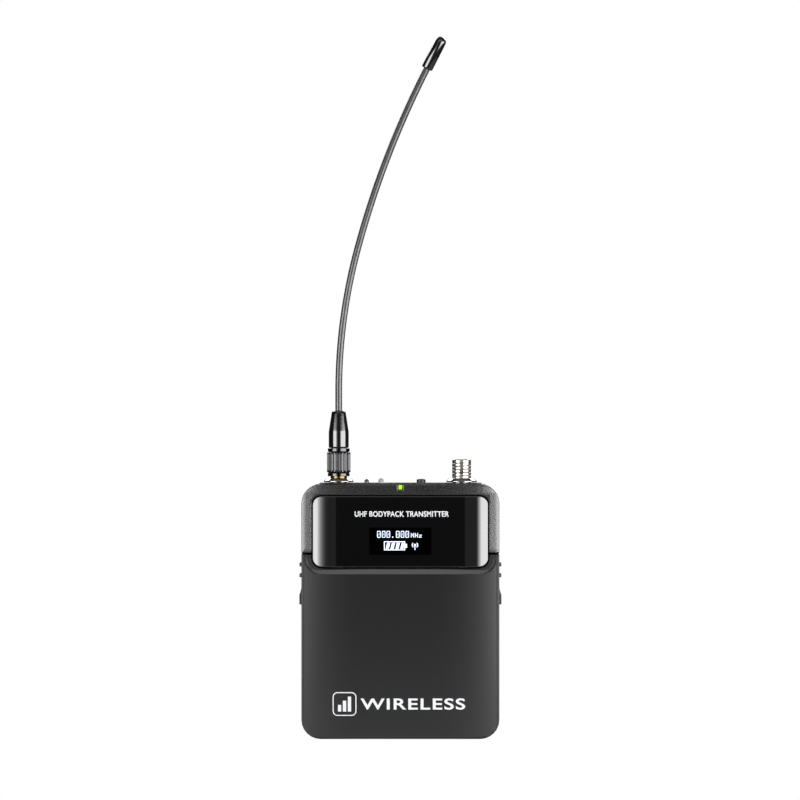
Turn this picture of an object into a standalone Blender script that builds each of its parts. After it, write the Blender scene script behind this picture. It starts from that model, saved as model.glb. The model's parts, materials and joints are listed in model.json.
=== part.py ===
"""Wireless bodypack transmitter with battery door, belt clip and screw-on whip antenna.

Sizes are in millimetres and are scaled to metres as each mesh is made. The front faces -Y, +Z is up
along the antenna, and the origin is the centre of the bottom face.
"""

import math

import bmesh
import bpy
from mathutils import Vector

MM = 0.001
GAP = 0.3

# Case
HALF_WIDTH = 33.0
HEIGHT = 85.0
FRONT_Y = -11.5
BACK_Y = 11.5
CORNER_RADIUS = 6.25
WALL = 1.8
STEP_Z = 61.9
LOWER_CASE_FRONT_Y = -8.3
UPPER_CASE_FRONT_Y = -4.2
INNER_BACK_Y = BACK_Y - WALL
BULKHEAD_Z = (35.2, 36.4)

# Front frame and display
FRAME_BOTTOM_Z = 62.2
FRAME_BACK_Y = UPPER_CASE_FRONT_Y - GAP
SEAT_Y = (-9.6, -8.6)
WINDOW_HALF_WIDTH = 29.3
WINDOW_Z = (57.5, 81.1)
WINDOW_RADIUS = 3.0
WINDOW_Y = (-11.8, -10.5)
WINDOW_GROOVE = 0.35
WINDOW_SIDE_DEPTH = 0.7
WINDOW_FLAT_HALF_WIDTH = 21.5
DISPLAY_HALF_WIDTH = 13.0
DISPLAY_Z = (60.0, 72.3)
DISPLAY_Y = (-8.3, -6.8)

# Battery door and its hinge
DOOR_BOTTOM_Z = 0.3
DOOR_TOP_Z = 61.6
DOOR_WALL = 1.6
DOOR_BACK_Y = -8.6
HINGE_Y = -9.4
HINGE_Z = 2.4
HINGE_PIN_RADIUS = 0.5
HINGE_BORE_RADIUS = 0.8
KNUCKLE_RADIUS = 1.3
CASE_KNUCKLE_X = (20.0, 26.0)
DOOR_KNUCKLE_X = (26.6, 29.8)
HINGE_RELIEF_RADIUS = 3.0
HINGE_NECK_Z = (HINGE_Z + 0.45, HINGE_Z + 1.2)
HINGE_SLOT_FRONT_Y = HINGE_Y - 0.2
DOOR_EDGE_RADIUS = 0.6

# Batteries
CELL_RADIUS = 7.25
CELL_LENGTH = 50.5
CELL_NUB_RADIUS = 2.75
CELL_NUB_LENGTH = 1.2
CELL_Y = 1.2
LOWER_CELL_Z = 12.0
UPPER_CELL_Z = 27.3
CELL_END_X = 28.6
CONTACT_X = (28.9, 29.5)

# Board and control panel
BOARD_HALF_WIDTH = 24.5
BOARD_Y = (-3.2, -1.6)
BOARD_Z = (42.0, 79.5)
PANEL_HALF_WIDTH = 26.3
PANEL_Y = (-7.9, -6.6)
PANEL_Z = (36.8, 56.8)
KEY_Z = 47.0
KEY_SPACING = 12.0
KEY_RADIUS = 2.7

# Release buttons
BUTTON_Y = (-4.7, 4.7)
BUTTON_Z = (43.8, 60.2)
BUTTON_FLANGE_X = (29.6, 30.9)
RIB_Z = (54.5, 58.1)
RIB_HEIGHT = 1.2
RIB_REACH = 0.75
TAB_Z = (44.8, 50.1)
TAB_REACH = 0.78
RELEASE_SPRING_Y = 2.0
RELEASE_SPRING_Z = 52.0
SPRING_SEAT_X = (24.8, 25.8)
SPRING_SEAT_Z = (48.5, 55.5)

# Top
RECESS_Z = 84.7
TOP_PLATE_Z = (85.0, 85.4)
TOP_PLATE_HALF_WIDTH = 27.1
TOP_PLATE_HALF_DEPTH = 9.3
ANTENNA_X = -20.65
MIC_X = 20.5
NUT_Z = (85.65, 87.0)
JACK_RADIUS = 2.75
MIC_RADIUS = 3.15
FLANGE_Z = (80.6, 82.9)
POWER_X = 6.95
POWER_RADIUS = 1.5
AUDIO_LAMP_X = -6.5
AUDIO_LAMP_RADIUS = 0.85
INPUT_LAMP_X = -11.3
INPUT_LAMP_RADIUS = 0.75
SMALL_PARTS_Y = 0.4

# Antenna
SLEEVE_Z = (97.4, 109.6)
WHIP_RADIUS = 1.15
WHIP_START_Z = 104.8
BEND_START_Z = 116.0
LOWER_BEND_RADIUS = 184.0
UPPER_BEND_RADIUS = 310.0
LOWER_BEND_ANGLE = math.radians(15.0)
BEND_ANGLE = math.radians(27.0)
TIP_RADIUS = 1.9
TIP_LENGTH = 11.9
TIP_BORE_DEPTH = 4.0

# Microphone connector
PIN_CIRCLE_RADIUS = 1.2
PIN_RADIUS = 0.28

# Belt clip
CLIP_PIVOT_Y = 14.2
CLIP_PIVOT_Z = 69.0
CLIP_WIRE_RADIUS = 1.0
CLIP_LEG_X = 11.0
CLIP_OUTER_Y = 17.9
FOOT_SLOPE = 0.4
LUG_X = (13.3, 17.0)

# Screws
FRAME_SCREW_X = 28.4
FRAME_SCREW_Z = 72.0
PANEL_SCREW_X = 23.5
PANEL_SCREW_Z = 39.4
BOARD_SCREW_X = 21.0
BOARD_SCREW_Z = 57.0
BOSS_RADIUS = 2.2
FRAME_BOSS_RADIUS = 3.3
SCREW_HOLE_RADIUS = 1.25
SCREW_RADIUS = 0.95

ARC_STEPS = 6
SHARP_ANGLE = math.radians(35)

# Colour, roughness and metallic value of each finish
FINISHES = {
    "textured_case": ((0.030, 0.031, 0.034), 0.62, 0.0),
    "door_paint": ((0.045, 0.046, 0.050), 0.48, 0.0),
    "gloss_black": ((0.006, 0.006, 0.007), 0.08, 0.0),
    "matte_black": ((0.012, 0.012, 0.013), 0.60, 0.0),
    "whip_jacket": ((0.040, 0.040, 0.042), 0.42, 0.0),
    "chrome": ((0.78, 0.78, 0.79), 0.12, 1.0),
    "nickel": ((0.62, 0.60, 0.56), 0.25, 1.0),
    "gold": ((0.80, 0.60, 0.28), 0.22, 1.0),
    "steel": ((0.50, 0.50, 0.51), 0.32, 1.0),
    "circuit_board": ((0.010, 0.075, 0.030), 0.45, 0.0),
    "switch_plastic": ((0.045, 0.045, 0.045), 0.50, 0.0),
    "cell_jacket": ((0.12, 0.13, 0.15), 0.35, 0.2),
    "display_glass": ((0.010, 0.012, 0.018), 0.15, 0.0),
    "foam": ((0.015, 0.015, 0.015), 0.90, 0.0),
    "clear_lens": ((0.75, 0.77, 0.78), 0.10, 0.0),
    "dark_lens": ((0.030, 0.012, 0.012), 0.12, 0.0),
    "green_light": ((0.35, 0.75, 0.05), 0.25, 0.0),
    "insulator": ((0.020, 0.020, 0.020), 0.45, 0.0),
    "grey_key": ((0.30, 0.30, 0.31), 0.50, 0.0),
}


def clear_scene():
    for obj in list(bpy.data.objects):
        bpy.data.objects.remove(obj)


def principled(name, finish):
    colour, roughness, metallic = FINISHES[finish]
    made = bpy.data.materials.new(name)
    made.use_nodes = True
    shader = made.node_tree.nodes["Principled BSDF"]
    shader.inputs["Base Color"].default_value = (*colour, 1.0)
    shader.inputs["Roughness"].default_value = roughness
    shader.inputs["Metallic"].default_value = metallic
    return made


def fillet(corners, steps=ARC_STEPS):
    """The points of a closed outline whose corners are (u, v, radius)."""
    points = []
    for index, (u, v, radius) in enumerate(corners):
        here = Vector((u, v))
        if radius == 0:
            points.append(tuple(here))
            continue
        before = (Vector(corners[index - 1][:2]) - here).normalized()
        after = (Vector(corners[(index + 1) % len(corners)][:2]) - here).normalized()
        half = before.angle(after) / 2
        centre = here + (before + after).normalized() * radius / math.sin(half)
        start = here + before * radius / math.tan(half) - centre
        end = here + after * radius / math.tan(half) - centre
        first = math.atan2(start.y, start.x)
        turn = (math.atan2(end.y, end.x) - first + math.pi) % (2 * math.pi) - math.pi
        for step in range(steps + 1):
            angle = first + turn * step / steps
            points.append((centre.x + radius * math.cos(angle), centre.y + radius * math.sin(angle)))
    return points


def rectangle(u, v, radius=0.0, steps=ARC_STEPS):
    """The outline of a rectangle from u[0], v[0] to u[1], v[1] with round corners."""
    corners = [(u[0], v[0], radius), (u[1], v[0], radius), (u[1], v[1], radius), (u[0], v[1], radius)]
    return fillet(corners, steps)


def prism(outline, axis, low, high):
    """The outline drawn out along the axis. Its points are the other two coordinates, in X, Y, Z order."""
    order = {"X": (2, 0, 1), "Y": (0, 2, 1), "Z": (0, 1, 2)}[axis]
    mesh = bmesh.new()
    ends = []
    for level in (low, high):
        ends.append([mesh.verts.new([(*point, level)[place] for place in order]) for point in outline])
    mesh.faces.new(ends[0])
    mesh.faces.new(ends[1])
    for index in range(len(outline)):
        after = (index + 1) % len(outline)
        mesh.faces.new((ends[0][index], ends[0][after], ends[1][after], ends[1][index]))
    bmesh.ops.recalc_face_normals(mesh, faces=mesh.faces)
    return mesh


def block(x, y, z):
    return prism(rectangle(x, y), "Z", *z)


def turned(profile, base, direction=(0, 0, 1), sides=20):
    """A profile of (radius, height) points turned about a line. It closes on itself unless it ends there.

    A flat end becomes one face with no centre point, so no edge of it runs through a hole cut there later.
    """
    mesh = bmesh.new()
    turn = Vector((0, 0, 1)).rotation_difference(Vector(direction)).to_matrix()
    rings = []
    for index, (radius, height) in enumerate(profile):
        neighbour = profile[1] if index == 0 else profile[index - 1]
        if radius == 0 and neighbour[1] == height:
            rings.append([])
            continue
        ring = []
        for side in range(sides if radius > 0 else 1):
            angle = 2 * math.pi * side / sides
            local = Vector((radius * math.cos(angle), radius * math.sin(angle), height))
            ring.append(mesh.verts.new(Vector(base) + turn @ local))
        rings.append(ring)
    for low, high in zip(rings, rings[1:] + rings[:1]):
        if not low and high or low and not high:
            if len(low or high) > 1:
                mesh.faces.new(low or high)
            continue
        if len(low) < 2 and len(high) < 2:
            continue
        for side in range(sides):
            after = (side + 1) % sides
            corners = [low[side % len(low)], low[after % len(low)]]
            corners += [high[after % len(high)], high[side % len(high)]]
            mesh.faces.new(list(dict.fromkeys(corners)))
    bmesh.ops.recalc_face_normals(mesh, faces=mesh.faces)
    return mesh


def rod(base, radius, length, direction=(0, 0, 1), sides=20):
    return turned([(0, 0), (radius, 0), (radius, length), (0, length)], base, direction, sides)


def joined(*meshes):
    """Separate bodies in one mesh, for use as one cutter."""
    whole = bmesh.new()
    for mesh in meshes:
        piece = bpy.data.meshes.new("piece")
        mesh.to_mesh(piece)
        mesh.free()
        whole.from_mesh(piece)
        bpy.data.meshes.remove(piece)
    return whole


def link(name, data, origin):
    obj = bpy.data.objects.new(name, data)
    obj.location = Vector(origin) * MM
    bpy.context.scene.collection.objects.link(obj)
    return obj


def place(name, mesh, origin):
    """An object with its origin at the given point, in millimetres."""
    for vert in mesh.verts:
        vert.co = (vert.co - Vector(origin)) * MM
    data = bpy.data.meshes.new(name)
    mesh.to_mesh(data)
    mesh.free()
    data.shade_smooth()
    data.set_sharp_from_angle(angle=SHARP_ANGLE)
    return link(name, data, origin)


def solid(name, mesh, finish, origin=(0, 0, 0)):
    obj = place(name, mesh, origin)
    obj.data.materials.append(principled(name, finish))
    return obj


def combine(obj, mesh, operation):
    count = len(obj.modifiers) + 1
    helper = place(f"{obj.name}_{operation.lower()}_{count}", mesh, (0, 0, 0))
    helper.hide_render = True
    helper.display_type = "WIRE"
    modifier = obj.modifiers.new(helper.name, "BOOLEAN")
    modifier.operation = operation
    modifier.object = helper


def cut(obj, *meshes):
    for mesh in meshes:
        combine(obj, mesh, "DIFFERENCE")


def add(obj, *meshes):
    for mesh in meshes:
        combine(obj, mesh, "UNION")


def wire(name, points, radius, finish, origin=(0, 0, 0), resolution=2):
    """A round wire with closed ends through the points."""
    curve = bpy.data.curves.new(name, "CURVE")
    curve.dimensions = "3D"
    curve.bevel_depth = radius * MM
    curve.bevel_resolution = resolution
    curve.use_fill_caps = True
    spline = curve.splines.new("POLY")
    spline.points.add(len(points) - 1)
    for point, target in zip(points, spline.points):
        target.co = (*((Vector(point) - Vector(origin)) * MM), 1.0)
    obj = link(name, curve, origin)
    curve.materials.append(principled(name, finish))
    return obj


def both_sides(make, x):
    """The same mesh made at -x and at +x, as one cutter or addition."""
    return joined(make(-x), make(x))


def top_hole(x, y, radius):
    return rod((x, y, FLANGE_Z[1]), radius, 6.0)


def top_holes():
    """The holes for what stands through the top, shared by the case and the top plate."""
    return joined(
        top_hole(ANTENNA_X, 0, JACK_RADIUS + GAP),
        top_hole(MIC_X, 0, MIC_RADIUS + GAP),
        top_hole(POWER_X, SMALL_PARTS_Y, POWER_RADIUS + GAP),
        top_hole(AUDIO_LAMP_X, SMALL_PARTS_Y, AUDIO_LAMP_RADIUS + GAP),
        top_hole(INPUT_LAMP_X, SMALL_PARTS_Y, INPUT_LAMP_RADIUS + GAP),
    )


def top_recess():
    half_width = TOP_PLATE_HALF_WIDTH + GAP
    half_depth = TOP_PLATE_HALF_DEPTH + GAP
    outline = rectangle((-half_width, half_width), (-half_depth, half_depth), 2.3, 3)
    return prism(outline, "Z", RECESS_Z, HEIGHT + 1)


def case_boss(x, z, front_y, radius=BOSS_RADIUS):
    return rod((x, INNER_BACK_Y + 0.5, z), radius, INNER_BACK_Y + 0.5 - front_y, (0, -1, 0), 16)


def case_knuckle(low_x, neck_y):
    """A knuckle round the hinge pin and the neck that holds it to the case, clear of the door's sweep."""
    high_x = low_x + CASE_KNUCKLE_X[1] - CASE_KNUCKLE_X[0]
    barrel = rod((low_x, HINGE_Y, HINGE_Z), KNUCKLE_RADIUS, high_x - low_x, (1, 0, 0))
    neck = block((low_x + 0.05, high_x - 0.05), (HINGE_Y, neck_y), HINGE_NECK_Z)
    return barrel, neck


def rear_case():
    outline = rectangle((-HALF_WIDTH, HALF_WIDTH), (0, HEIGHT), CORNER_RADIUS)
    case = solid("rear_case", prism(outline, "Y", LOWER_CASE_FRONT_Y, BACK_Y), "textured_case")
    cut(case, block((-40, 40), (-20, UPPER_CASE_FRONT_Y), (STEP_Z, 90)))
    inner = HALF_WIDTH - WALL
    pocket = rectangle((-inner, inner), (WALL, HEIGHT - WALL), CORNER_RADIUS - WALL)
    cut(case, prism(pocket, "Y", -20, INNER_BACK_Y))
    beam = block((-29.5, 29.5), (-5.9, -4.4), (WALL - 0.3, 5.4))
    bulkhead = block((-inner - 0.5, inner + 0.5), (-6.0, INNER_BACK_Y + 0.5), BULKHEAD_Z)
    add(case, beam, bulkhead)
    add_case_bosses(case)
    cut(case, rod((-40, HINGE_Y, HINGE_Z), HINGE_RELIEF_RADIUS, 80, (1, 0, 0), 32))
    for low_x in (-CASE_KNUCKLE_X[1], CASE_KNUCKLE_X[0]):
        add(case, *case_knuckle(low_x, -5.0))
    cut(case, rod((-40, HINGE_Y, HINGE_Z), HINGE_BORE_RADIUS, 80, (1, 0, 0), 16))
    cut_button_openings(case)
    cut(case, top_recess(), top_holes())
    add_clip_lugs(case)


def add_case_bosses(case):
    bosses = (
        (FRAME_SCREW_X, FRAME_SCREW_Z, UPPER_CASE_FRONT_Y + 0.1, FRAME_BOSS_RADIUS),
        (PANEL_SCREW_X, PANEL_SCREW_Z, PANEL_Y[1] + GAP, BOSS_RADIUS),
        (BOARD_SCREW_X, BOARD_SCREW_Z, BOARD_Y[1] + GAP, BOSS_RADIUS),
    )
    for x, z, front_y, radius in bosses:
        add(case, joined(case_boss(-x, z, front_y, radius), case_boss(x, z, front_y, radius)))
    seat_y = (-1.0, INNER_BACK_Y + 0.5)
    add(case, joined(*[block(mirrored_x(SPRING_SEAT_X, side), seat_y, SPRING_SEAT_Z) for side in (-1, 1)]))
    cut(case, joined(*[hole for side in (-1, 1) for hole in case_screw_holes(side)]))


def case_screw_holes(side):
    """Holes for one side's screws: from the back with a counterbore, and two blind ones from the front."""
    stepped = [(0, -20), (SCREW_HOLE_RADIUS, -20), (SCREW_HOLE_RADIUS, 9.0), (2.45, 9.0), (2.45, 14), (0, 14)]
    return (
        turned(stepped, (side * FRAME_SCREW_X, 0, FRAME_SCREW_Z), (0, 1, 0), 16),
        rod((side * PANEL_SCREW_X, -20, PANEL_SCREW_Z), SCREW_HOLE_RADIUS, 19.5, (0, 1, 0), 16),
        rod((side * BOARD_SCREW_X, -20, BOARD_SCREW_Z), SCREW_HOLE_RADIUS, 25, (0, 1, 0), 16),
    )


def cut_button_openings(case):
    y = (BUTTON_Y[0] - GAP, BUTTON_Y[1] + GAP)
    z = (BUTTON_Z[0] - GAP, BUTTON_Z[1] + GAP)
    opening = rectangle(y, z, 1.3, 3)
    cut(case, prism(opening, "X", 30.0, 40.0), prism(opening, "X", -40.0, -30.0))


def add_clip_lugs(case):
    top = CLIP_PIVOT_Z + 3.0
    outline = fillet(
        [
            (BACK_Y - 0.5, CLIP_PIVOT_Z - 4.5, 0),
            (BACK_Y, CLIP_PIVOT_Z - 4.5, 0),
            (CLIP_PIVOT_Y + 2.6, CLIP_PIVOT_Z - 2.6, 2.0),
            (CLIP_PIVOT_Y + 2.6, top, 2.0),
            (BACK_Y - 0.5, top, 0),
        ]
    )
    add(case, joined(prism(outline, "X", *LUG_X), prism(outline, "X", -LUG_X[1], -LUG_X[0])))
    bore = rod((-16.5, CLIP_PIVOT_Y, CLIP_PIVOT_Z), CLIP_WIRE_RADIUS + GAP, 33.0, (1, 0, 0), 16)
    cut(case, bore)


def front_frame():
    corners = [
        (-HALF_WIDTH, FRAME_BOTTOM_Z, 0.4),
        (HALF_WIDTH, FRAME_BOTTOM_Z, 0.4),
        (HALF_WIDTH, HEIGHT, CORNER_RADIUS),
        (-HALF_WIDTH, HEIGHT, CORNER_RADIUS),
    ]
    frame = solid("front_frame", prism(fillet(corners), "Y", FRONT_Y, FRAME_BACK_Y), "textured_case")
    inner = HALF_WIDTH - WALL
    pocket = rectangle((-inner, inner), (50, HEIGHT - WALL), CORNER_RADIUS - WALL)
    cut(frame, prism(pocket, "Y", SEAT_Y[1], 0))
    cut(frame, prism(window_outline(WINDOW_GROOVE), "Y", -20, SEAT_Y[0]))
    tongue = fillet(
        [
            (-WINDOW_HALF_WIDTH + 0.1, WINDOW_Z[0], WINDOW_RADIUS),
            (WINDOW_HALF_WIDTH - 0.1, WINDOW_Z[0], WINDOW_RADIUS),
            (WINDOW_HALF_WIDTH - 0.1, FRAME_BOTTOM_Z + 1, 0),
            (-WINDOW_HALF_WIDTH + 0.1, FRAME_BOTTOM_Z + 1, 0),
        ]
    )
    add(frame, prism(tongue, "Y", *SEAT_Y))
    bosses = both_sides(
        lambda x: rod((x, FRAME_BACK_Y, FRAME_SCREW_Z), BOSS_RADIUS, 4.5, (0, -1, 0), 16), FRAME_SCREW_X
    )
    add(frame, bosses)
    holes = both_sides(
        lambda x: rod((x, 0, FRAME_SCREW_Z), SCREW_HOLE_RADIUS, 8.4, (0, -1, 0), 16), FRAME_SCREW_X
    )
    cut(frame, holes, block((-11, 11), (-12, 0), (61.0, 71.3)), top_recess())
    cut(frame, block((-0.9, 0.9), (-12, -6.7), (83.1, HEIGHT + 1)))


def window_outline(margin):
    half_width = WINDOW_HALF_WIDTH + margin
    z = (WINDOW_Z[0] - margin, WINDOW_Z[1] + margin)
    return rectangle((-half_width, half_width), z, WINDOW_RADIUS + margin)


def display_window():
    """A bent plate: its front falls back towards both sides, along a parabola from the flat middle."""
    window = solid("display_window", prism(window_outline(0), "Y", *WINDOW_Y), "gloss_black")
    side_width = WINDOW_HALF_WIDTH - WINDOW_FLAT_HALF_WIDTH
    front = []
    for step in range(ARC_STEPS + 1):
        share = step / ARC_STEPS
        fall = WINDOW_SIDE_DEPTH * share**2
        front.append((WINDOW_FLAT_HALF_WIDTH + share * side_width, WINDOW_Y[0] + fall))
    outside = [(WINDOW_HALF_WIDTH + 1, front[-1][1] + 0.1), (WINDOW_HALF_WIDTH + 1, WINDOW_Y[0] - 1)]
    outline = front + outside + [(WINDOW_FLAT_HALF_WIDTH, WINDOW_Y[0] - 1)]
    mirrored = [(-x, y) for x, y in outline]
    cut(window, joined(prism(outline, "Z", 50, 90), prism(mirrored, "Z", 50, 90)))


def window_gasket():
    gasket = solid("window_gasket", prism(window_outline(-0.6), "Y", -10.2, -9.9), "foam")
    cut(gasket, prism(window_outline(-2.6), "Y", -12, -8))


def oled_display():
    glass = rectangle((-DISPLAY_HALF_WIDTH, DISPLAY_HALF_WIDTH), DISPLAY_Z, 0.4, 2)
    solid("oled_display", prism(glass, "Y", *DISPLAY_Y), "display_glass")


def battery_door():
    notch = WINDOW_HALF_WIDTH + WINDOW_GROOVE
    notch_z = WINDOW_Z[0] - WINDOW_GROOVE
    notch_radius = WINDOW_RADIUS + WINDOW_GROOVE
    corners = [
        (-HALF_WIDTH, DOOR_BOTTOM_Z - 0.05, CORNER_RADIUS + 0.05),
        (HALF_WIDTH, DOOR_BOTTOM_Z - 0.05, CORNER_RADIUS + 0.05),
        (HALF_WIDTH, DOOR_TOP_Z, 0.4),
        (notch, DOOR_TOP_Z, 0.4),
        (notch, notch_z, notch_radius),
        (-notch, notch_z, notch_radius),
        (-notch, DOOR_TOP_Z, 0.4),
        (-HALF_WIDTH, DOOR_TOP_Z, 0.4),
    ]
    hinge = (0, HINGE_Y, HINGE_Z)
    plate = prism(door_profile(), "X", -HALF_WIDTH - 1, HALF_WIDTH + 1)
    door = solid("battery_door", plate, "door_paint", hinge)
    combine(door, prism(fillet(corners), "Y", -20, 0), "INTERSECT")
    inner = HALF_WIDTH - DOOR_WALL
    pocket = [
        (-inner, DOOR_BOTTOM_Z + DOOR_WALL, CORNER_RADIUS - DOOR_WALL),
        (inner, DOOR_BOTTOM_Z + DOOR_WALL, CORNER_RADIUS - DOOR_WALL),
        (inner, notch_z - DOOR_WALL, 1.0),
        (-inner, notch_z - DOOR_WALL, 1.0),
    ]
    cut(door, prism(fillet(pocket), "Y", FRONT_Y + DOOR_WALL, 0))
    knuckles = [
        rod((low_x, HINGE_Y, HINGE_Z), KNUCKLE_RADIUS, DOOR_KNUCKLE_X[1] - DOOR_KNUCKLE_X[0], (1, 0, 0))
        for low_x in (-DOOR_KNUCKLE_X[1], DOOR_KNUCKLE_X[0])
    ]
    add(door, joined(*knuckles))
    room = CASE_KNUCKLE_X[1] - CASE_KNUCKLE_X[0] + 2 * GAP
    room_starts = (-CASE_KNUCKLE_X[1] - GAP, CASE_KNUCKLE_X[0] - GAP)
    rooms = [rod((x, HINGE_Y, HINGE_Z), KNUCKLE_RADIUS + GAP, room, (1, 0, 0)) for x in room_starts]
    cut(door, joined(*rooms))
    slots = [block((x - 0.05, x + room + 0.05), (HINGE_SLOT_FRONT_Y, 0), (-1, 6)) for x in room_starts]
    cut(door, joined(*slots))
    cut(door, rod((-30.0, HINGE_Y, HINGE_Z), HINGE_BORE_RADIUS, 60.0, (1, 0, 0), 16))
    ledges = [block(x, (-9.3, DOOR_BACK_Y - 0.05), (50.5, 55.2)) for x in ((30.2, 31.8), (-31.8, -30.2))]
    add(door, joined(*ledges))


def door_profile():
    """The door from the side, as (y, z): a plate whose lower back is round about the hinge axis."""
    radius = HINGE_Z - DOOR_BOTTOM_Z
    points = arc(FRONT_Y + DOOR_EDGE_RADIUS, DOOR_BOTTOM_Z + DOOR_EDGE_RADIUS, DOOR_EDGE_RADIUS, 180, 270, 4)
    top_angle = 360 + math.degrees(math.acos((DOOR_BACK_Y - HINGE_Y) / radius))
    points += arc(HINGE_Y, HINGE_Z, radius, 270, top_angle, 13)
    return points + [(DOOR_BACK_Y, DOOR_TOP_Z + 1), (FRONT_Y, DOOR_TOP_Z + 1)]


def arc(u, v, radius, start, end, steps):
    """Points on an arc about (u, v), from one angle to another in degrees."""
    points = []
    for step in range(steps + 1):
        angle = math.radians(start + (end - start) * step / steps)
        points.append((u + radius * math.cos(angle), v + radius * math.sin(angle)))
    return points


def hinge_pin():
    solid("hinge_pin", rod((-29.7, HINGE_Y, HINGE_Z), HINGE_PIN_RADIUS, 59.4, (1, 0, 0), 16), "steel")


def top_plate():
    half_width = TOP_PLATE_HALF_WIDTH
    half_depth = TOP_PLATE_HALF_DEPTH
    outline = rectangle((-half_width, half_width), (-half_depth, half_depth), 2.0, 3)
    plate = solid("top_plate", prism(outline, "Z", *TOP_PLATE_Z), "matte_black")
    cut(plate, top_holes())


def mirrored_x(values, side):
    """A range of x for the right side, or its mirror image for the left side."""
    return values if side > 0 else (-values[1], -values[0])


def release_button(name, side):
    origin = (side * HALF_WIDTH, 0, sum(BUTTON_Z) / 2)
    face = prism(rectangle(BUTTON_Y, BUTTON_Z, 1.0, 3), "X", *mirrored_x((30.5, HALF_WIDTH), side))
    button = solid(name, face, "matte_black", origin)
    add(button, block(mirrored_x(BUTTON_FLANGE_X, side), (-6.0, 6.0), (42.6, 61.4)))
    rib_x = mirrored_x((HALF_WIDTH - 0.5, HALF_WIDTH + RIB_REACH), side)
    ribs = [block(rib_x, (-4.2, 4.2), (z - RIB_HEIGHT / 2, z + RIB_HEIGHT / 2)) for z in RIB_Z]
    add(button, joined(*ribs))
    tab = [
        (HALF_WIDTH - 0.5, TAB_Z[0]),
        (HALF_WIDTH + TAB_REACH, TAB_Z[0]),
        (HALF_WIDTH + TAB_REACH, TAB_Z[1] - 2.1),
        (HALF_WIDTH + 0.1, TAB_Z[1]),
        (HALF_WIDTH - 0.5, TAB_Z[1]),
    ]
    add(button, prism([(side * x, z) for x, z in tab], "Y", -4.2, 4.2))
    hook = [(28.0, -9.6), (29.9, -9.6), (29.9, -9.0), (29.4, -8.5)]
    hook += [(29.4, -5.8), (30.2, -5.8), (30.2, -4.4), (28.0, -4.4)]
    add(button, prism([(side * x, y) for x, y in hook], "Z", 51.0, 54.8))


def coil(start, direction, length, radii, turns, steps=9):
    """Points along a coil of a changing radius about a line."""
    turn = Vector((0, 0, 1)).rotation_difference(Vector(direction)).to_matrix()
    points = []
    count = int(turns * steps)
    for step in range(count + 1):
        share = step / count
        angle = 2 * math.pi * step / steps
        radius = radii[0] + (radii[1] - radii[0]) * share
        local = Vector((radius * math.cos(angle), radius * math.sin(angle), length * share))
        points.append(Vector(start) + turn @ local)
    return points


def release_spring(name, side):
    start = (side * (SPRING_SEAT_X[1] + 0.55), RELEASE_SPRING_Y, RELEASE_SPRING_Z)
    points = coil(start, (side, 0, 0), 2.7, (1.8, 1.8), 3)
    wire(name, points, 0.22, "steel", resolution=1)


def battery(name, z, side):
    """One AA cell lying along X, with its positive nub towards the given side."""
    start = -side * (CELL_LENGTH - CELL_END_X)
    body = CELL_LENGTH - CELL_NUB_LENGTH
    profile = [
        (0, 0),
        (CELL_RADIUS, 0),
        (CELL_RADIUS, body),
        (CELL_NUB_RADIUS, body),
        (CELL_NUB_RADIUS, CELL_LENGTH),
        (0, CELL_LENGTH),
    ]
    solid(name, turned(profile, (start, CELL_Y, z), (side, 0, 0), 24), "cell_jacket")


def contact_spring(name, z, side):
    start = (side * (CONTACT_X[0] - 0.65), CELL_Y, z)
    length = CONTACT_X[0] - 0.65 - (CELL_LENGTH - CELL_END_X) - 0.65
    wire(name, coil(start, (-side, 0, 0), length, (4.6, 2.6), 3.5), 0.35, "nickel", resolution=1)


def contact_plate(name, z, side):
    outline = rectangle((CELL_Y - 4.5, CELL_Y + 4.5), z, 1.0, 2)
    solid(name, prism(outline, "X", *mirrored_x(CONTACT_X, side)), "nickel")


def battery_tray():
    corners = [(-30.9, 2.1, 4.15), (30.9, 2.1, 4.15), (30.9, 34.9, 0.5), (-30.9, 34.9, 0.5)]
    tray = solid("battery_tray", prism(fillet(corners), "Y", 8.8, 9.4), "matte_black")
    for side in (-1, 1):
        add(tray, block(mirrored_x((29.9, 30.9), side), (-4.0, 9.1), (6.4, 34.5)))
    middle = (LOWER_CELL_Z + UPPER_CELL_Z) / 2
    add(tray, prism([(5.5, middle), (8.9, middle - 2.6), (8.9, middle + 2.6)], "X", -26, 26))


def battery_bay():
    battery_tray()
    battery("battery_upper", UPPER_CELL_Z, 1)
    battery("battery_lower", LOWER_CELL_Z, -1)
    contact_spring("contact_spring_upper", UPPER_CELL_Z, -1)
    contact_spring("contact_spring_lower", LOWER_CELL_Z, 1)
    contact_plate("bridge_contact", (LOWER_CELL_Z - 5.5, UPPER_CELL_Z + 5.5), 1)
    contact_plate("negative_contact", (UPPER_CELL_Z - 5.5, UPPER_CELL_Z + 5.5), -1)
    contact_plate("positive_contact", (LOWER_CELL_Z - 5.5, LOWER_CELL_Z + 5.5), -1)


def control_panel():
    outline = rectangle((-PANEL_HALF_WIDTH, PANEL_HALF_WIDTH), PANEL_Z, 1.5, 3)
    panel = solid("control_panel", prism(outline, "Y", *PANEL_Y), "matte_black")
    for x in (-KEY_SPACING, 0, KEY_SPACING):
        cut(panel, rod((x, -12, KEY_Z), KEY_RADIUS + GAP, 10, (0, 1, 0)))
    cut(panel, both_sides(lambda x: screw_hole(x, PANEL_SCREW_Z), PANEL_SCREW_X))


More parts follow.
